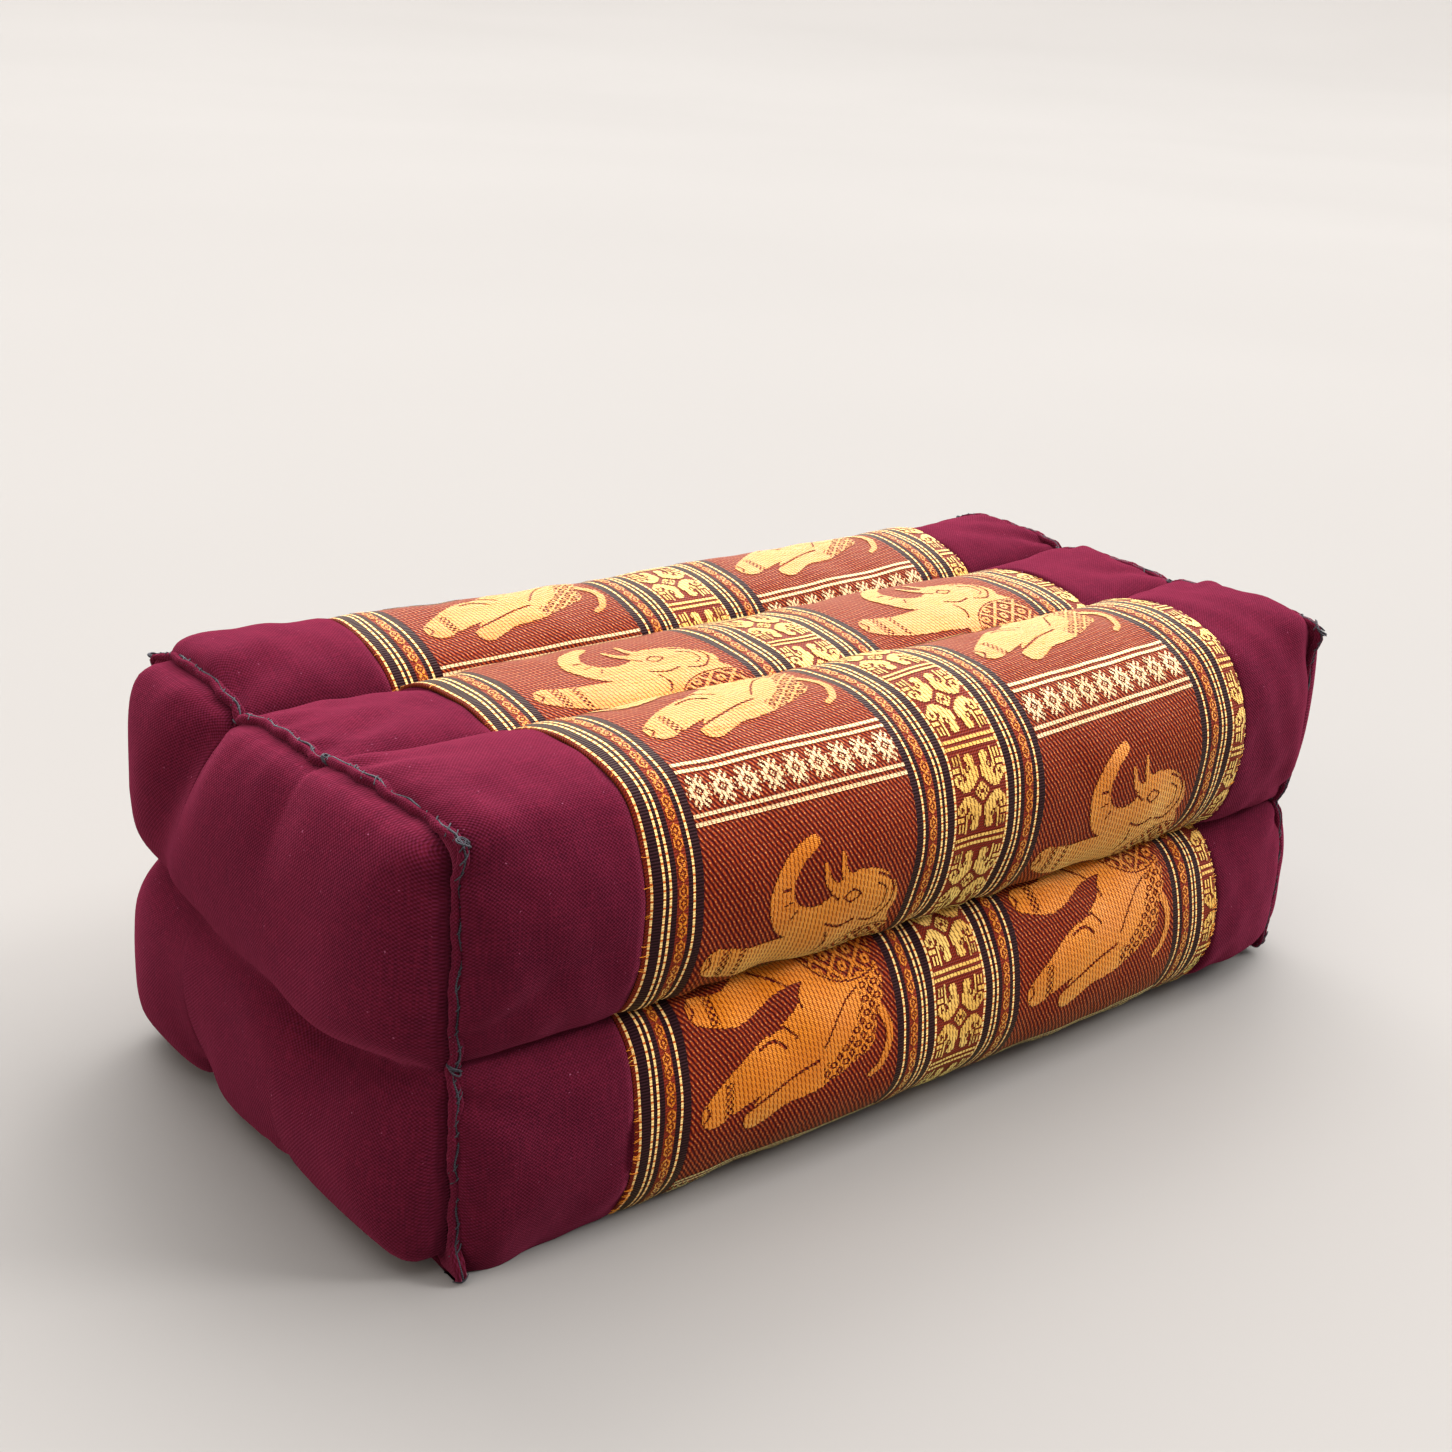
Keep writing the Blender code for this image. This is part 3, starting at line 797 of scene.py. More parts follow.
def add(tree, kind, inputs=None, out=0, stops=None, **settings):
    """One node with its settings and links; gives back one of its outputs."""
    node = tree.nodes.new(kind)
    for name, value in settings.items():
        setattr(node, name, value)
    for key, value in (inputs or {}).items():
        if isinstance(value, bpy.types.NodeSocket):
            tree.links.new(value, node.inputs[key])
        elif isinstance(value, str) and value.startswith("#"):
            node.inputs[key].default_value = linear(value)
        else:
            node.inputs[key].default_value = value
    if stops:
        ramp = node.color_ramp
        while len(ramp.elements) < len(stops):
            ramp.elements.new(1.0)
        for element, (place, colour) in zip(ramp.elements, stops):
            element.position = place
            element.color = linear(colour)
    return None if out is None else node.outputs[out]


def new_finish(name, **values):
    """An empty finish with one shader whose plain values are set on its own sockets."""
    material = bpy.data.materials.new(name)
    material.use_nodes = True
    tree = material.node_tree
    shader = tree.nodes["Principled BSDF"]
    for key, value in values.items():
        socket = shader.inputs[key.replace("_", " ")]
        socket.default_value = linear(value) if isinstance(value, str) else value
    return material, tree, shader


def feed(tree, shader, **patterns):
    """Links each pattern to the shader's socket of that name."""
    for key, value in patterns.items():
        tree.links.new(value, shader.inputs[key.replace("_", " ")])


def cloth_mm(tree):
    """The cloth's own coordinates in millimetres, as x along it and v round it."""
    uv = add(tree, "ShaderNodeUVMap", out="UV", uv_map="cloth")
    scaled = add(tree, "ShaderNodeMapping", {0: uv, "Scale": (1000, 1000, 1000)})
    x, v = (add(tree, "ShaderNodeSeparateXYZ", {0: scaled}, out=axis) for axis in "XY")
    return scaled, x, v


def wave(tree, value, period, phase=0.0):
    """Sine of a distance in millimetres."""
    turned = add(tree, MATH, {0: value, 1: 2 * math.pi / period, 2: phase},
                 operation="MULTIPLY_ADD")
    return add(tree, MATH, {0: turned}, operation="SINE")


def streaks(tree, cloth, along, across, detail):
    """Yarn unevenness, drawn out along the cloth or across it where its scale is low."""
    place = add(tree, "ShaderNodeMapping", {0: cloth, "Scale": (along, across, 1.0)})
    return add(tree, NOISE, {"Vector": place, "Scale": 1.0, "Detail": detail})


def shot_cotton(name):
    """Shot plain-weave cotton, woven of wine-red and violet threads and left uncalendered:
    a deep matt ground, a violet bloom at grazing angles, fine threads and pale lint."""
    material, tree, shader = new_finish(
        name, Roughness=0.85, Sheen_Weight=0.33, Sheen_Roughness=0.45, Sheen_Tint="#d4587c",
        Specular_IOR_Level=0.0)
    cloth, x, v = cloth_mm(tree)
    # threads are 0.35 mm apart on such cotton, drawn at 1.1 mm so that they show
    weave = add(tree, MATH, {0: wave(tree, x, 1.1), 1: wave(tree, v, 1.1)},
                operation="MULTIPLY")
    # the dye's tone drifts over about 30 mm
    broad = add(tree, NOISE, {"Vector": cloth, "Scale": 0.035, "Detail": 3.0, "Roughness": 0.6})
    tone = add(tree, RAMP, {0: broad},
               stops=((0.30, "#360a12"), (0.55, "#410d16"), (0.75, "#4c111b")))
    # slubs about 7 mm long in both sets of threads, drawn 0.7 mm thick so that they show
    slub = streaks(tree, cloth, 0.15, 1.4, 2.0)
    cross = streaks(tree, cloth, 1.4, 0.15, 2.0)
    threads = add(tree, MATH, {0: slub, 1: cross}, operation="ADD")
    thread_tone = add(tree, RAMP, {0: add(tree, MATH, {0: threads, 1: 0.5}, operation="MULTIPLY")},
                      stops=((0.36, "#2c0910"), (0.5, "#400c16"), (0.64, "#5a1424")))
    colour = add(tree, MIX, {0: 0.5, 6: tone, 7: thread_tone}, out=2, data_type="RGBA")
    # the violet thread shows where it crosses over the red one
    crossing = add(tree, MATH, {0: weave, 1: 0.40, 2: 0.20}, operation="MULTIPLY_ADD")
    colour = add(tree, MIX, {0: crossing, 6: colour, 7: "#64213c"}, out=2, data_type="RGBA")
    # sparse lint, in specks under 1 mm
    specks = add(tree, NOISE, {"Vector": cloth, "Scale": 0.9, "Detail": 1.0})
    lint = add(tree, RAMP, {0: specks}, stops=((0.76, "#000000"), (0.81, "#ffffff")))
    colour = add(tree, MIX, {0: lint, 6: colour, 7: "#86485f"}, out=2, data_type="RGBA")
    raised = add(tree, MATH, {0: weave, 1: 0.35}, operation="MULTIPLY")
    height = add(tree, MATH, {0: threads, 1: 0.6, 2: raised}, operation="MULTIPLY_ADD")
    bumped = add(tree, BUMP, {"Strength": 0.55, "Distance": 0.0004, "Height": height})
    feed(tree, shader, Base_Color=colour, Normal=bumped)
    return material


# The brocade's stripes run round the cushion at these places along it, in mm
FIELDS = ((-101.9, -28.5), (23.4, 96.6))
STRIPE = 15.4                  # width of the striped border on each side of a field
CHAIN_FROM, CHAIN_TO = 4.8, 8.3       # the chain's own stripe in that border

# Stripe table: where each colour starts, in mm from the edge of the field
GROUND = ((0.05, "#170a0f"), (CHAIN_FROM, "#6b1c10"), (CHAIN_TO, "#170a0f"),
          (STRIPE, "#560e0c"))
CORD_WIDTH = 0.7
CORDS = (3.0, 10.4, 12.2, STRIPE + CORD_WIDTH / 2)   # middles of the dashed lines


def from_fields(tree, x):
    """Distance of x outside the nearest patterned field, in mm; 0 inside it."""
    gaps = []
    for low, high in FIELDS:
        off = add(tree, MATH, {0: x, 1: (low + high) / 2}, operation="SUBTRACT")
        off = add(tree, MATH, {0: off}, operation="ABSOLUTE")
        off = add(tree, MATH, {0: off, 1: (high - low) / 2}, operation="SUBTRACT")
        gaps.append(add(tree, MATH, {0: off, 1: 0.0}, operation="MAXIMUM"))
    return add(tree, MATH, {0: gaps[0], 1: gaps[1]}, operation="MINIMUM")


def jacquard_brocade(name):
    """Jacquard brocade of polyester satin yarns: a steep rust twill over a maroon ground,
    near-black satin borders with painted violet sheen on their ribs, and dashed cream cords."""
    material, tree, shader = new_finish(
        name, Roughness=0.5, Sheen_Roughness=0.35, Sheen_Tint="#e6cc64",
        Specular_Tint="#ffb080")
    cloth, x, v = cloth_mm(tree)
    gap = from_fields(tree, x)
    span = 20.0
    share = add(tree, MATH, {0: gap, 1: 1 / span}, operation="MULTIPLY")
    ground = add(tree, RAMP, {0: share},
                 stops=tuple((place / span, colour) for place, colour in GROUND))
    ground.node.color_ramp.interpolation = "CONSTANT"
    in_field = add(tree, MATH, {0: gap, 1: 0.05}, operation="LESS_THAN")
    # steep twill of the field, real pitch 0.6 mm, drawn at 1.25 mm so that it shows
    slope = add(tree, MATH, {0: v, 1: 0.42}, operation="MULTIPLY")
    slope = add(tree, MATH, {0: x, 1: 0.62, 2: slope}, operation="MULTIPLY_ADD")
    jitter = add(tree, NOISE, {"Vector": cloth, "Scale": 0.25, "Detail": 2.0})
    slope = add(tree, MATH, {0: jitter, 1: 0.8, 2: slope}, operation="MULTIPLY_ADD")
    twill = wave(tree, slope, 0.95)
    level = add(tree, MATH, {0: twill, 1: 0.5, 2: 0.5}, operation="MULTIPLY_ADD")
    rust = add(tree, RAMP, {0: level},
               stops=((0.15, "#420b0e"), (0.5, "#70200f"), (0.85, "#9c3c14")))
    # cream yarn shows through along the twill, in short flecks of 0.6 by 1.2 mm
    fleck = streaks(tree, cloth, 1.6, 0.8, 1.0)
    picks = add(tree, MATH, {0: wave(tree, v, 1.1, 0.4), 1: 0.25}, operation="MULTIPLY")
    shown = add(tree, MATH, {0: fleck, 1: twill, 2: picks}, operation="MULTIPLY_ADD")
    flecks = add(tree, RAMP, {0: shown}, stops=((0.56, "#000000"), (0.74, "#ffffff")))
    flecks = add(tree, MATH, {0: flecks, 1: 0.62}, operation="MULTIPLY")
    rust = add(tree, MIX, {0: flecks, 6: rust, 7: "#dc9c5c"}, out=2, data_type="RGBA")
    # violet-brown warps run round the cushion, real pitch 0.3 mm, drawn 1.4 mm apart
    warps = add(tree, MATH, {0: wave(tree, x, 1.4), 1: 0.26, 2: 0.20}, operation="MULTIPLY_ADD")
    rust = add(tree, MIX, {0: warps, 6: rust, 7: "#35101c"}, out=2, data_type="RGBA")
    # the medallion ground and the chain's ground are a finer twill, drawn 0.8 mm apart
    slant = add(tree, MATH, {0: x, 1: v}, operation="SUBTRACT")
    fine = add(tree, MATH, {0: wave(tree, slant, 1.1), 1: 0.17, 2: 0.17},
               operation="MULTIPLY_ADD")
    beyond = add(tree, MATH, {0: gap, 1: STRIPE}, operation="GREATER_THAN")
    after = add(tree, MATH, {0: gap, 1: CHAIN_FROM}, operation="GREATER_THAN")
    before = add(tree, MATH, {0: gap, 1: CHAIN_TO}, operation="LESS_THAN")
    chain = add(tree, MATH, {0: after, 1: before}, operation="MULTIPLY")
    twilled = add(tree, MATH, {0: beyond, 1: chain}, operation="MAXIMUM")
    twilled = add(tree, MATH, {0: twilled, 1: fine}, operation="MULTIPLY")
    ground = add(tree, MIX, {0: twilled, 6: ground, 7: "#b3471c"}, out=2, data_type="RGBA")
    # satin ribs of the dark stripes, one to a pick, real pitch 0.5 mm, drawn 0.9 mm apart
    ribs = wave(tree, v, 0.9)
    # painted sheen: a violet-grey mixed into the dark stripes' colour along each rib, standing in
    # for the satin's shine
    painted_rib_sheen = add(tree, MATH, {0: ribs, 1: 0.12, 2: 0.10}, operation="MULTIPLY_ADD")
    ground = add(tree, MIX, {0: painted_rib_sheen, 6: ground, 7: "#5a3440"}, out=2, data_type="RGBA")
    colour = add(tree, MIX, {0: in_field, 6: ground, 7: rust}, out=2, data_type="RGBA")
    # dashed cords: cream with narrow brick-red breaks every 2.4 mm
    dash = add(tree, MATH, {0: wave(tree, v, 2.4), 1: -0.72}, operation="GREATER_THAN")
    cord_tone = add(tree, MIX, {0: dash, 6: "#b85a20", 7: "#f4cc84"}, out=2, data_type="RGBA")
    cords = 0.0
    for middle in CORDS:
        near = add(tree, MATH, {0: gap, 1: middle, 2: CORD_WIDTH / 2}, operation="COMPARE")
        cords = add(tree, MATH, {0: near, 1: cords}, operation="MAXIMUM")
    colour = add(tree, MIX, {0: cords, 6: colour, 7: cord_tone}, out=2, data_type="RGBA")
    # only the smooth rust and cream yarns shine, the maroon ground between them doesn't
    gloss = add(tree, MATH, {0: warps, 1: -2.0, 2: 1.0}, operation="MULTIPLY_ADD")
    gloss = add(tree, MIX, {0: in_field, 2: 0.6, 3: gloss})
    height = add(tree, MIX, {0: in_field, 2: ribs, 3: twill})
    height = add(tree, MATH, {0: cords, 1: 1.6, 2: height}, operation="MULTIPLY_ADD")
    bumped = add(tree, BUMP, {"Strength": 0.5, "Distance": 0.00022, "Height": height})
    feed(tree, shader, Base_Color=colour, Normal=bumped,
         Sheen_Weight=add(tree, MATH, {0: gloss, 1: 0.16}, operation="MULTIPLY"),
         Specular_IOR_Level=add(tree, MATH, {0: gloss, 1: 0.08}, operation="MULTIPLY"))
    return material


def satin_weft(name, dull, bright, bound_tone):
    """Polyester satin weft, floated over the ground and bound by maroon warps: saturated
    in shade, and pale where the light skims its smooth filaments."""
    material, tree, shader = new_finish(
        name, Roughness=0.38, Sheen_Roughness=0.34, Sheen_Tint="#fcff98",
        Specular_Tint="#ffc058")
    cloth, x, v = cloth_mm(tree)
    # the yarn's tone drifts over about 20 mm
    broad = add(tree, NOISE, {"Vector": cloth, "Scale": 0.05, "Detail": 2.0})
    yarn = add(tree, RAMP, {0: broad}, stops=((0.3, dull), (0.7, bright)))
    # binding warps, real pitch 0.5 mm, drawn 1.4 mm apart so that they show
    warp = wave(tree, add(tree, MATH, {0: v, 1: 0.1, 2: x}, operation="MULTIPLY_ADD"), 1.4)
    stagger = wave(tree, add(tree, MATH, {0: x, 1: 1.6, 2: v}, operation="MULTIPLY_ADD"), 1.7)
    bound = add(tree, MATH, {0: stagger, 1: 0.5, 2: warp}, operation="MULTIPLY_ADD")
    bound = add(tree, MATH, {0: bound, 1: 0.33, 2: 0.5}, operation="MULTIPLY_ADD")
    points = add(tree, RAMP, {0: bound}, stops=((0.56, "#000000"), (0.78, "#ffffff")))
    darker = add(tree, MATH, {0: points, 1: 0.75}, operation="MULTIPLY")
    colour = add(tree, MIX, {0: darker, 6: yarn, 7: bound_tone}, out=2, data_type="RGBA")
    # the bound places are matt, and lie lower between picks 0.5 mm apart
    gloss = add(tree, MATH, {0: points, 1: -0.85, 2: 1.0}, operation="MULTIPLY_ADD")
    sunk = add(tree, MATH, {0: points, 1: -1.5}, operation="MULTIPLY")
    height = add(tree, MATH, {0: wave(tree, v, 0.5), 1: 0.5, 2: sunk}, operation="MULTIPLY_ADD")
    bumped = add(tree, BUMP, {"Strength": 0.5, "Distance": 0.0002, "Height": height})
    feed(tree, shader, Base_Color=colour, Sheen_Weight=gloss, Specular_IOR_Level=gloss,
         Normal=bumped)
    return material


def spun_thread(name):
    """Spun polyester sewing thread, dark grey-green: matt, with a twisted ply."""
    material, tree, shader = new_finish(
        name, Roughness=0.8, Sheen_Weight=0.1, Sheen_Tint="#8890a0")
    place = add(tree, "ShaderNodeTexCoord", out="Object")
    # the plies lie 0.4 mm apart
    ply = add(tree, "ShaderNodeTexWave", {"Vector": place, "Scale": 900.0, "Distortion": 2.0},
              bands_direction="DIAGONAL")
    colour = add(tree, RAMP, {0: ply}, stops=((0.2, "#15131a"), (0.8, "#32303a")))
    bumped = add(tree, BUMP, {"Strength": 0.4, "Distance": 0.0001, "Height": ply})
    feed(tree, shader, Base_Color=colour, Normal=bumped)
    return material


# Woven figures

# Star band, one repeat of 16 stitches down to its middle row; the rows below it are the
# rows above turned half round
STAR = (
    ".....#.....#....",
    ".....##...##....",
    "...#..##.##..#..",
    "...##..###..##..",
    "....##.###.##...",
    ".....#######....",
    ".#..####.####..#",
    "..#####...#####.",
    "..####..#..####.",
    "#..##..#.#..##..",
)

# Chain, one repeat of two rings joined by a twist
CHAIN = (
    "....#....",
    "...###...",
    "..##.##..",
    ".##...##.",
    ".#..#..#.",
    ".#.###.#.",
    ".#..#..#.",
    ".##...##.",
    "..##.###.",
    "...####..",
    "..###....",
    ".###.##..",
    ".##...##.",
    ".#..#..#.",
    ".#.###.#.",
    ".#..#..#.",
    ".##...##.",
    "..##.##..",
    "...###...",
    "....#....",
    ".........",
)

# Scroll medallion, its upper left quarter: mirrored across and then down
SCROLL = (
    "...............",
    ".....#.........",
    ".#.#.#...###...",
    ".#.#.#..#####..",
    ".#.#.#..#####..",
    ".#.#.#...####..",
    ".....#...####..",
    "####.#..#.###..",
    "####.##.#.####.",
    ".....##..#####.",
    ".###..########.",
    "##.##..#######.",
    "##..#..#######.",
    "##.##.#######..",
    ".###########...",
    "..#########...#",
    "...#######...##",
    "....####....#.#",
    "...........#.#.",
)


def chart_runs(rows):
    """(row, first, last) of each unbroken run of stitches in a chart."""
    runs = []
    for number, row in enumerate(rows):
        filled = [False] + [cell in (True, "#") for cell in row] + [False]
        ends = [k for k in range(len(row) + 1) if filled[k] != filled[k + 1]]
        runs += [(number, *pair) for pair in zip(ends[::2], ends[1::2])]
    return runs


def mirrored(quarter_chart):
    """The whole of a chart that is alike on all four sides."""
    upper = [row + row[::-1] for row in quarter_chart]
    return upper + upper[::-1]


# Places round the cushion, in mm, where the upper double line of each star band lies,
# for the left and for the right field
BAND_TOPS = ((-54.5, 80.4, 207.0, 334.9, 462.7, 583.6),
             (-54.5, 80.4, 211.5, 337.9, 464.2, 583.6))
ASLANT = 3.0                   # how far the right field's figures climb to its right edge

# One repeat of a field as it is drawn, in mm: its height, the four lines of its star band
# and the band of stars between them
REPEAT = 134.9
DOUBLE_LINES = ((116.1, 117.2), (118.5, 119.6), (131.4, 132.5), (133.8, 134.9))
STARS_FROM, STAR_BAND = 120.6, 9.9
MEDALLIONS = 22                # round the girth
MEDALLION_WIDTH = 22.0         # mm from the right border, though the brocade's edge cuts it
MEDALLIONS_FROM = 6.0          # mm round the girth
MEDALLION_LINES = (0.0, 2.1)   # starts of the two lines that part medallions, in mm
MEDALLION_LINE = 1.0           # width of each of them
SCROLL_FROM = 3.6              # mm from the first line
SCROLL_SIDE = 0.3              # mm left free on each side of a scroll
SCROLL_REST = 4.2              # mm of a medallion's height that its scroll leaves free
LINKS = 80                     # of a chain, round the girth
LONGEST_FLOAT = 3.2            # mm, so that floats follow the cloth
LINE_STEPS = 8                 # steps between two points of a drawn line


def runs_to_patches(chart, left, low, wide, tall):
    """Rectangles (x0, x1, v0, v1) in mm of a chart's runs, laid from left, low up; a
    stitch is wide across and tall up."""
    patches = []
    for row, first, last in chart_runs(chart):
        top = low + (len(chart) - row) * tall
        patches.append((left + first * wide, left + last * wide, top - tall, top))
    return patches


def star_patches(left, width, low, stretch):
    """One band of stars, one field wide."""
    repeats = 9
    lower = [row[0] + row[:0:-1] for row in STAR[:-1]][::-1]
    rows = [row * repeats for row in list(STAR) + lower]
    return runs_to_patches(rows, left, low, width / repeats / len(STAR[0]),
                           STAR_BAND * stretch / len(rows))


def smooth_line(points):
    """A smooth open line through points given in mm."""
    points = np.array(points, float)
    count = len(points)
    result = []
    for i in range(count - 1):
        a, b, c, d = (points[min(max(i + k, 0), count - 1)] for k in (-1, 0, 1, 2))
        for t in np.arange(LINE_STEPS) / LINE_STEPS:
            result.append(0.5 * (2 * b + (c - a) * t + (2 * a - 5 * b + 4 * c - d) * t ** 2
                                 + (3 * b - a - 3 * c + d) * t ** 3))
    return np.array(result + [points[-1]])


# A rearing elephant of the builder's own drawing, put together from ovals and tapered
# limbs, in mm from the field's left edge and from the double line below it
Oval = namedtuple("Oval", "across up wide tall turn")       # middle, half sizes, degrees
HEAD = Oval(56, 83, 14, 10, -25)
BARREL = Oval(56, 58, 16, 26, 0)
RUMP = Oval(54, 36, 18, 14, 35)
BELLY = Oval(40, 40, 22, 22, 0)
SADDLE = Oval(62, 56, 17, 15, 10)
LIMBS = (                      # half width at its start, at its finish, then its middle line
    (6.5, 2.0, ((48, 82), (38, 80), (29, 84), (26, 93), (30, 101), (36, 105))),
    (8.5, 4.8, ((54, 68), (34, 70), (18, 71), (7, 75))),
    (7.5, 4.2, ((48, 52), (32, 50), (18, 44), (7, 46))),
    (12.0, 4.6, ((54, 36), (40, 28), (24, 24), (8, 16))),
    (8.0, 3.6, ((58, 26), (44, 19), (32, 16), (22, 10))),
)
TUSKS = (
    (1.8, 0.5, ((47, 89), (42, 92), (40, 98))),
    (1.6, 0.5, ((51, 91), (47, 94), (46, 100))),
)
TAIL = (1.4, 1.0, ((68, 30), (71, 22), (68, 14), (64, 11)))
# Dark lines that the warp draws inside the gold: half width, then the line
INK = (
    (0.40, ((60, 91), (66, 87), (67, 80), (62, 75), (57, 76))),
    (0.30, ((60, 88), (64, 85), (64, 80), (61, 78))),
    (0.35, ((48, 86), (51, 88), (54, 86), (51, 84), (48, 86))),
    (0.45, ((44, 78), (49, 76), (54, 77))),
    (0.40, ((40, 86), (43, 88), (46, 86))),
    (0.30, ((30, 83), (32, 86))),
    (0.30, ((27, 88), (30, 89))),
    (0.30, ((26, 93), (29, 93))),
    (0.35, ((44, 66), (46, 70), (45, 75))),
    (0.45, ((28, 52), (33, 48), (38, 43), (40, 38))),
    (0.50, ((24, 30), (29, 31), (33, 28))),
    (0.40, ((28, 33), (33, 34), (37, 30))),
    (0.45, ((44, 21), (36, 19), (28, 16), (18, 12))),
    (0.35, ((46, 24), (54, 34), (61, 38))),
    (0.35, ((3, 73), (5, 75), (4, 78))),
    (0.35, ((3, 44), (5, 46), (4, 49))),
    (0.35, ((4, 14), (6, 16), (5, 19))),
)
# Dotted cuffs round the legs: middle, half width, half height
CUFFS = ((10, 74, 1.5, 6), (16, 72, 1.0, 6), (11, 46, 1.5, 5.5), (13, 18, 1.6, 5.5))
FIGURE_WIDTH, FIGURE_HEIGHT = 74, 107
STITCH = 0.5                   # one woven step of the elephant, in mm


def in_oval(a, t, oval, grow=0.0):
    """Which grid points lie in an oval, made larger all round by grow."""
    turn = math.radians(oval.turn)
    off_a = a - oval.across
    off_t = t - oval.up
    p = (off_a * math.cos(turn) + off_t * math.sin(turn)) / (oval.wide + grow)
    q = (off_t * math.cos(turn) - off_a * math.sin(turn)) / (oval.tall + grow)
    return p ** 2 + q ** 2 < 1


def on_limb(a, t, start, finish, points):
    """Which grid points lie on a limb whose half width runs from start to finish."""
    line = smooth_line(points)
    hit = np.zeros(a.shape, bool)
    for k, (p, q) in enumerate(zip(line[:-1], line[1:])):
        step = q - p
        share = ((a - p[0]) * step[0] + (t - p[1]) * step[1]) / max(step @ step, 1e-9)
        share = np.clip(share, 0, 1)
        gap = np.hypot(a - p[0] - share * step[0], t - p[1] - share * step[1])
        hit |= gap < start + (finish - start) * (k + share) / (len(line) - 1)
    return hit


def lozenges(a, t, wide, tall):
    """Distance from a lattice's lines, 0 to 0.5, and from the middle of its lozenges."""
    p = (a / wide + t / tall) % 1
    q = (a / wide - t / tall) % 1
    return np.minimum(np.minimum(p, 1 - p), np.minimum(q, 1 - q)), np.hypot(p - 0.5, q - 0.5)


def elephant_rows():
    """The elephant as rows of woven stitches, top row first."""
    a, t = np.meshgrid(*((np.arange(int(size / STITCH)) + 0.5) * STITCH
                         for size in (FIGURE_WIDTH, FIGURE_HEIGHT)))
    body = in_oval(a, t, HEAD) | in_oval(a, t, BARREL) | in_oval(a, t, RUMP)
    for limb in LIMBS:
        body |= on_limb(a, t, *limb)
    gold = body.copy()
    for limb in TUSKS + (TAIL,):
        gold |= on_limb(a, t, *limb)
    for half, points in INK:
        gold &= ~on_limb(a, t, half, half, points)
    gold |= np.hypot(a - 51, t - 86) < 0.6                    # the eye
    for middle_a, middle_t, half_a, half_t in CUFFS:
        cuff = (np.abs(a - middle_a) < half_a) & (np.abs(t - middle_t) < half_t)
        gold &= ~(cuff & ((a.astype(int) + t.astype(int)) % 2 == 0))
    # quilted saddle cloth, with a small flower in each lozenge
    line, middle = lozenges(a, t, 9.0, 9.0)
    quilting = (line < 0.06) | ((middle < 0.24) & (middle > 0.07))
    gold = np.where(body & in_oval(a, t, SADDLE), quilting, gold)
    gold &= ~(in_oval(a, t, SADDLE, 1.0) & ~in_oval(a, t, SADDLE, 0.4))
    # scaled cloth over the rump, a crescent along the back
    scaled = body & ~in_oval(a, t, BELLY) & ~in_oval(a, t, SADDLE, 1.6) & (a > 46) & (t < 52)
    line, middle = lozenges(a, t, 4.5, 4.0)
    gold = np.where(scaled, (line < 0.14) | (middle < 0.13), gold)
    return gold[::-1].tolist()


ELEPHANT = elephant_rows()


def figure_patches():
    """Patches of every woven figure, by the name of the piece that they make."""
    elephants, stars, scrolls, chains = [], [], [], []
    for (left, right), tops in zip(FIELDS, BAND_TOPS):
        width = right - left
        for low, high in zip(tops[:-1], tops[1:]):
            stretch = (high - low) / REPEAT
            elephants += runs_to_patches(ELEPHANT, left, low, width / FIGURE_WIDTH * STITCH,
                                         STITCH * stretch)
            for lower, upper in DOUBLE_LINES:
                stars.append((left, right, low + lower * stretch, low + upper * stretch))
            stars += star_patches(left, width, low + STARS_FROM * stretch, stretch)
    # scroll medallions between the fields, and their cut-off half at the right edge
    pitch = GIRTH / MM / MEDALLIONS
    column = STRIPE + CORD_WIDTH
    bands = ((FIELDS[0][1] + column, FIELDS[1][0] - column, math.inf),
             (FIELDS[1][1] + column, FIELDS[1][1] + STRIPE + MEDALLION_WIDTH,
              BROCADE_WIDTH / MM / 2))
    chart = mirrored(SCROLL)
    for left, right, limit in bands:
        for cell in range(MEDALLIONS):
            low = cell * pitch + MEDALLIONS_FROM
            for offset in MEDALLION_LINES:
                line = low + offset
                scrolls.append((left, min(right, limit), line, line + MEDALLION_LINE))
            wide = (right - left - 2 * SCROLL_SIDE) / len(chart[0])
            tall = (pitch - SCROLL_REST) / len(chart)
            for x0, x1, v0, v1 in runs_to_patches(
                    chart, left + SCROLL_SIDE, low + SCROLL_FROM, wide, tall):
                if x0 < limit:
                    scrolls.append((x0, min(x1, limit), v0, v1))
    # chains, in each border
    pitch = GIRTH / MM / LINKS
    for left, right in FIELDS:
        for start in (left - CHAIN_TO, right + CHAIN_FROM):
            for link in range(LINKS):
                chains += runs_to_patches(
                    CHAIN, start, link * pitch, (CHAIN_TO - CHAIN_FROM) / len(CHAIN[0]),
                    pitch / len(CHAIN))
    return {"elephant_floats": elephants, "star_band_floats": stars,
            "scroll_floats": scrolls, "chain_floats": chains}


def on_brocade(surface, normals, x, v, lift):
    """Points at x and v (mm) on the brocade, lifted off it."""
    row = (x * MM - BROCADE_X[0]) / (BROCADE_X[1] - BROCADE_X[0])
    row = np.clip(row, 0, len(BROCADE_X) - 1.000001)
    place = np.interp((v * MM) % GIRTH, ARC, np.arange(AROUND + 1))
    i = row.astype(int)
    j = place.astype(int) % AROUND
    k = (j + 1) % AROUND
    fi = (row - i)[:, None]
    fj = (place - place.astype(int))[:, None]

    def blend(grid):
        near = grid[i, j] * (1 - fj) + grid[i, k] * fj
        far = grid[i + 1, j] * (1 - fj) + grid[i + 1, k] * fj
        return near * (1 - fi) + far * fi
    return blend(surface) + unit(blend(normals)) * lift[:, None]


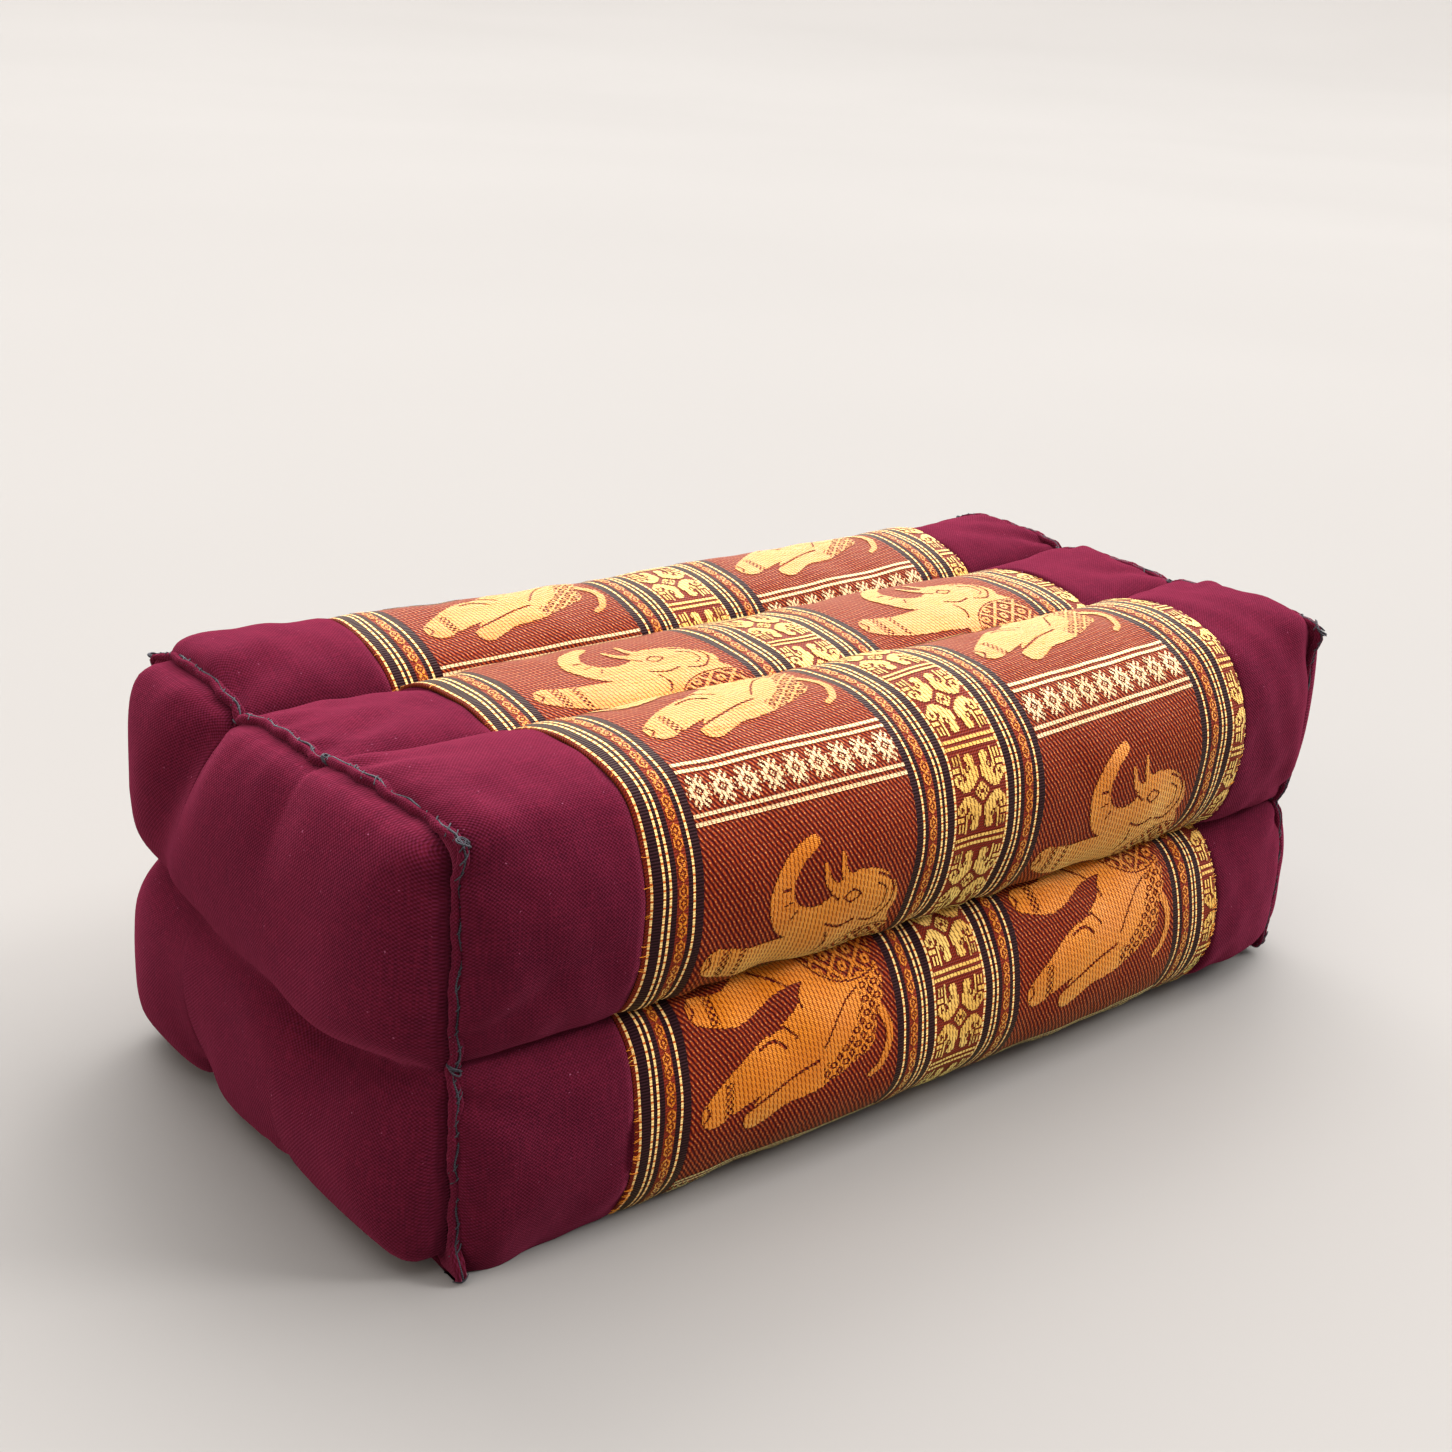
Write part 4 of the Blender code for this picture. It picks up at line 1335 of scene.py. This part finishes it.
def weft_piece(name, patches, surface, normals, material, seed):
    """The floats of one kind of figure, laid on the brocade."""
    draw = np.random.default_rng(seed)
    xs, vs, lifts = [], [], []
    for x0, x1, v0, v1 in patches:
        cuts = np.linspace(x0, x1, max(1, math.ceil((x1 - x0) / LONGEST_FLOAT)) + 1)
        lift = (0.20 + 0.05 * draw.random()) * MM
        for c0, c1 in zip(cuts[:-1], cuts[1:]):
            xs += (c0, c1, c1, c0)
            vs += (v0, v0, v1, v1)
            lifts += (lift,) * 4
    xs = np.array(xs)
    left, right = FIELDS[1]
    vs = np.array(vs) + ASLANT * np.clip((xs - left) / (right - left), 0, 1)
    points = resting(on_brocade(surface, normals, xs, vs, np.array(lifts)), 0.02 * MM)
    faces = np.arange(len(xs)).reshape(-1, 4)
    return make_piece(name, points, faces, np.column_stack((xs, vs)) * MM, material)


# Stage, light and camera

COMPASS = np.arange(96) * 2 * np.pi / 96


def stage_floor():
    """A plain pale floor; far off it rises a little, so that no horizon shows."""
    material, tree, shader = new_finish(
        "matt_painted_floor", Roughness=0.9, Specular_IOR_Level=0.03)
    place = add(tree, "ShaderNodeTexCoord", out="Object")
    mottle = add(tree, NOISE, {"Vector": place, "Scale": 1.0, "Detail": 2.0})
    tone = add(tree, RAMP, {0: mottle}, stops=((0.3, "#85827f"), (0.7, "#878481")))
    feed(tree, shader, Base_Color=tone)
    rings = ((1.0, 0.0), (5.0, 0.0), (7.0, 0.15), (9.5, 0.6), (12.5, 1.5), (15.0, 2.5))
    points = [(0.0, 0.0, 0.0)]
    for radius, height in rings:
        points += [(radius * np.cos(turn), radius * np.sin(turn), height) for turn in COMPASS]
    sides = len(COMPASS)
    faces = [(0, 1 + k, 1 + (k + 1) % sides) for k in range(sides)]
    faces += strip_faces(len(rings), sides, 1)
    points = np.array(points)
    make_piece("floor", points, faces, points[:, :2], material)


def pale_backdrop():
    """A pale wall right round, beyond the floor's rim. It only shows in low views, and it
    neither lights nor shades anything."""
    material = bpy.data.materials.new("pale_painted_wall")
    material.use_nodes = True
    tree = material.node_tree
    tree.nodes.clear()
    glow = add(tree, "ShaderNodeEmission", {"Color": "#ece7e1", "Strength": 1.0})
    add(tree, "ShaderNodeOutputMaterial", {"Surface": glow}, out=None)
    points = np.array([(15.5 * np.cos(turn), 15.5 * np.sin(turn), height)
                       for height in (-1.0, 30.0) for turn in COMPASS])
    faces = strip_faces(2, len(COMPASS))
    wall = make_piece("backdrop", points, faces, np.zeros((len(points), 2)), material)
    for ray in ("diffuse", "glossy", "transmission", "volume_scatter", "shadow"):
        setattr(wall, "visible_" + ray, False)


def soft_light(name, toward, spread, strength, colour="#ffffff"):
    """A large soft light far off, in the direction toward, spread degrees across."""
    light = bpy.data.lights.new(name, "SUN")
    light.angle = math.radians(spread)
    light.energy = strength
    light.color = linear(colour)[:3]
    link_in(name, light).rotation_euler = Vector(toward).to_track_quat("Z", "Y").to_euler()


def studio():
    world = bpy.data.worlds.new("studio")
    bpy.context.scene.world = world
    world.use_nodes = True
    sky = world.node_tree.nodes["Background"]
    sky.inputs["Color"].default_value = linear("#fffdfb")
    sky.inputs["Strength"].default_value = 0.32
    soft_light("window_right", (0.75, 0.0, 0.62), 70, 4.9)
    soft_light("white_wall", (0.45, 0.85, 0.55), 60, 5.0)
    soft_light("overhead", (0.0, 0.1, 1.0), 70, 3.0)
    soft_light("window_front", (0.62, -0.44, 0.62), 14, 1.5)
    soft_light("room_left", (-1.0, -0.1, 0.35), 60, 2.0, "#fff0e6")
    bpy.context.scene.view_settings.view_transform = "Standard"


# The camera, worked back from the photograph's own perspective
CAMERA_AT = (-0.397604, -0.442803, 0.316706)
CAMERA_TURN = -40.294          # degrees round the object
CAMERA_RISE = 20.645           # degrees above the floor
CAMERA_ROLL = 3.497
FOCAL_SHARE = 1997.82 / 1452   # focal length over image width


def photo_camera():
    """The photograph's own viewpoint and lens."""
    camera = bpy.data.cameras.new("camera")
    camera.sensor_width = 36.0
    camera.sensor_fit = "HORIZONTAL"
    camera.lens = camera.sensor_width * FOCAL_SHARE
    camera.clip_start = 0.01
    turn, rise, roll = (math.radians(d) for d in (CAMERA_TURN, CAMERA_RISE, CAMERA_ROLL))
    aim = Euler((math.pi / 2 - rise, 0, turn)).to_matrix() @ Matrix.Rotation(roll, 3, "Z")
    made = link_in("camera", camera)
    made.matrix_world = Matrix.Translation(CAMERA_AT) @ aim.to_4x4()
    bpy.context.scene.camera = made


# Put together

photo_camera()
studio()
stage_floor()
pale_backdrop()

cotton = shot_cotton("shot_plain_cotton")
brocade = jacquard_brocade("jacquard_brocade")
gold = satin_weft("gold_satin_weft", "#c46204", "#d2740a", "#661c06")
pale_gold = satin_weft("pale_gold_satin_weft", "#d89c3c", "#e8c068", "#5c1c0a")
cream = satin_weft("cream_satin_weft", "#c8a87c", "#dac098", "#702418")
thread = spun_thread("spun_overcast_thread")

sleeve = plain_sleeve(cotton)
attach(sleeve, "root")
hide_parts("cushion_body")

outer_face = resting(brocade_surface())
panel = brocade_sleeve(outer_face, brocade)
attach(panel, "root")
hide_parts("brocade_panel")

normals = facing(outer_face, True)
for number, (name, patches) in enumerate(figure_patches().items()):
    yarn = {"star_band_floats": cream, "scroll_floats": pale_gold}.get(name, gold)
    piece = weft_piece(name, patches, outer_face, normals, yarn, number)
    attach(piece, "root")
threads_tree = bent_thread_tree()
frays = frayed_edge("frayed_weft_ends", outer_face, normals, threads_tree, gold)
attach(frays, "root")

for side, end in (("left", -1), ("right", 1)):
    cap = end_cloth("end_cloth_" + side, end, cotton)
    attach(cap, "root")
    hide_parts("end_panel_" + side)
    welt = overcast_seam("overcast_seam_" + side, end, cotton)
    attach(welt, "root")
    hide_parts("end_seam_" + side)
    sewn = [welt, seam_stitches("overcast_stitches_" + side, end, threads_tree, thread),
            notch_thread("notch_thread_" + side, end, thread),
            seam_knots("seam_knots_" + side, end, thread)]
    if end < 0:
        sewn.append(loose_ends("loose_thread_ends", thread))
    for piece in sewn[1:]:
        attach(piece, "root")
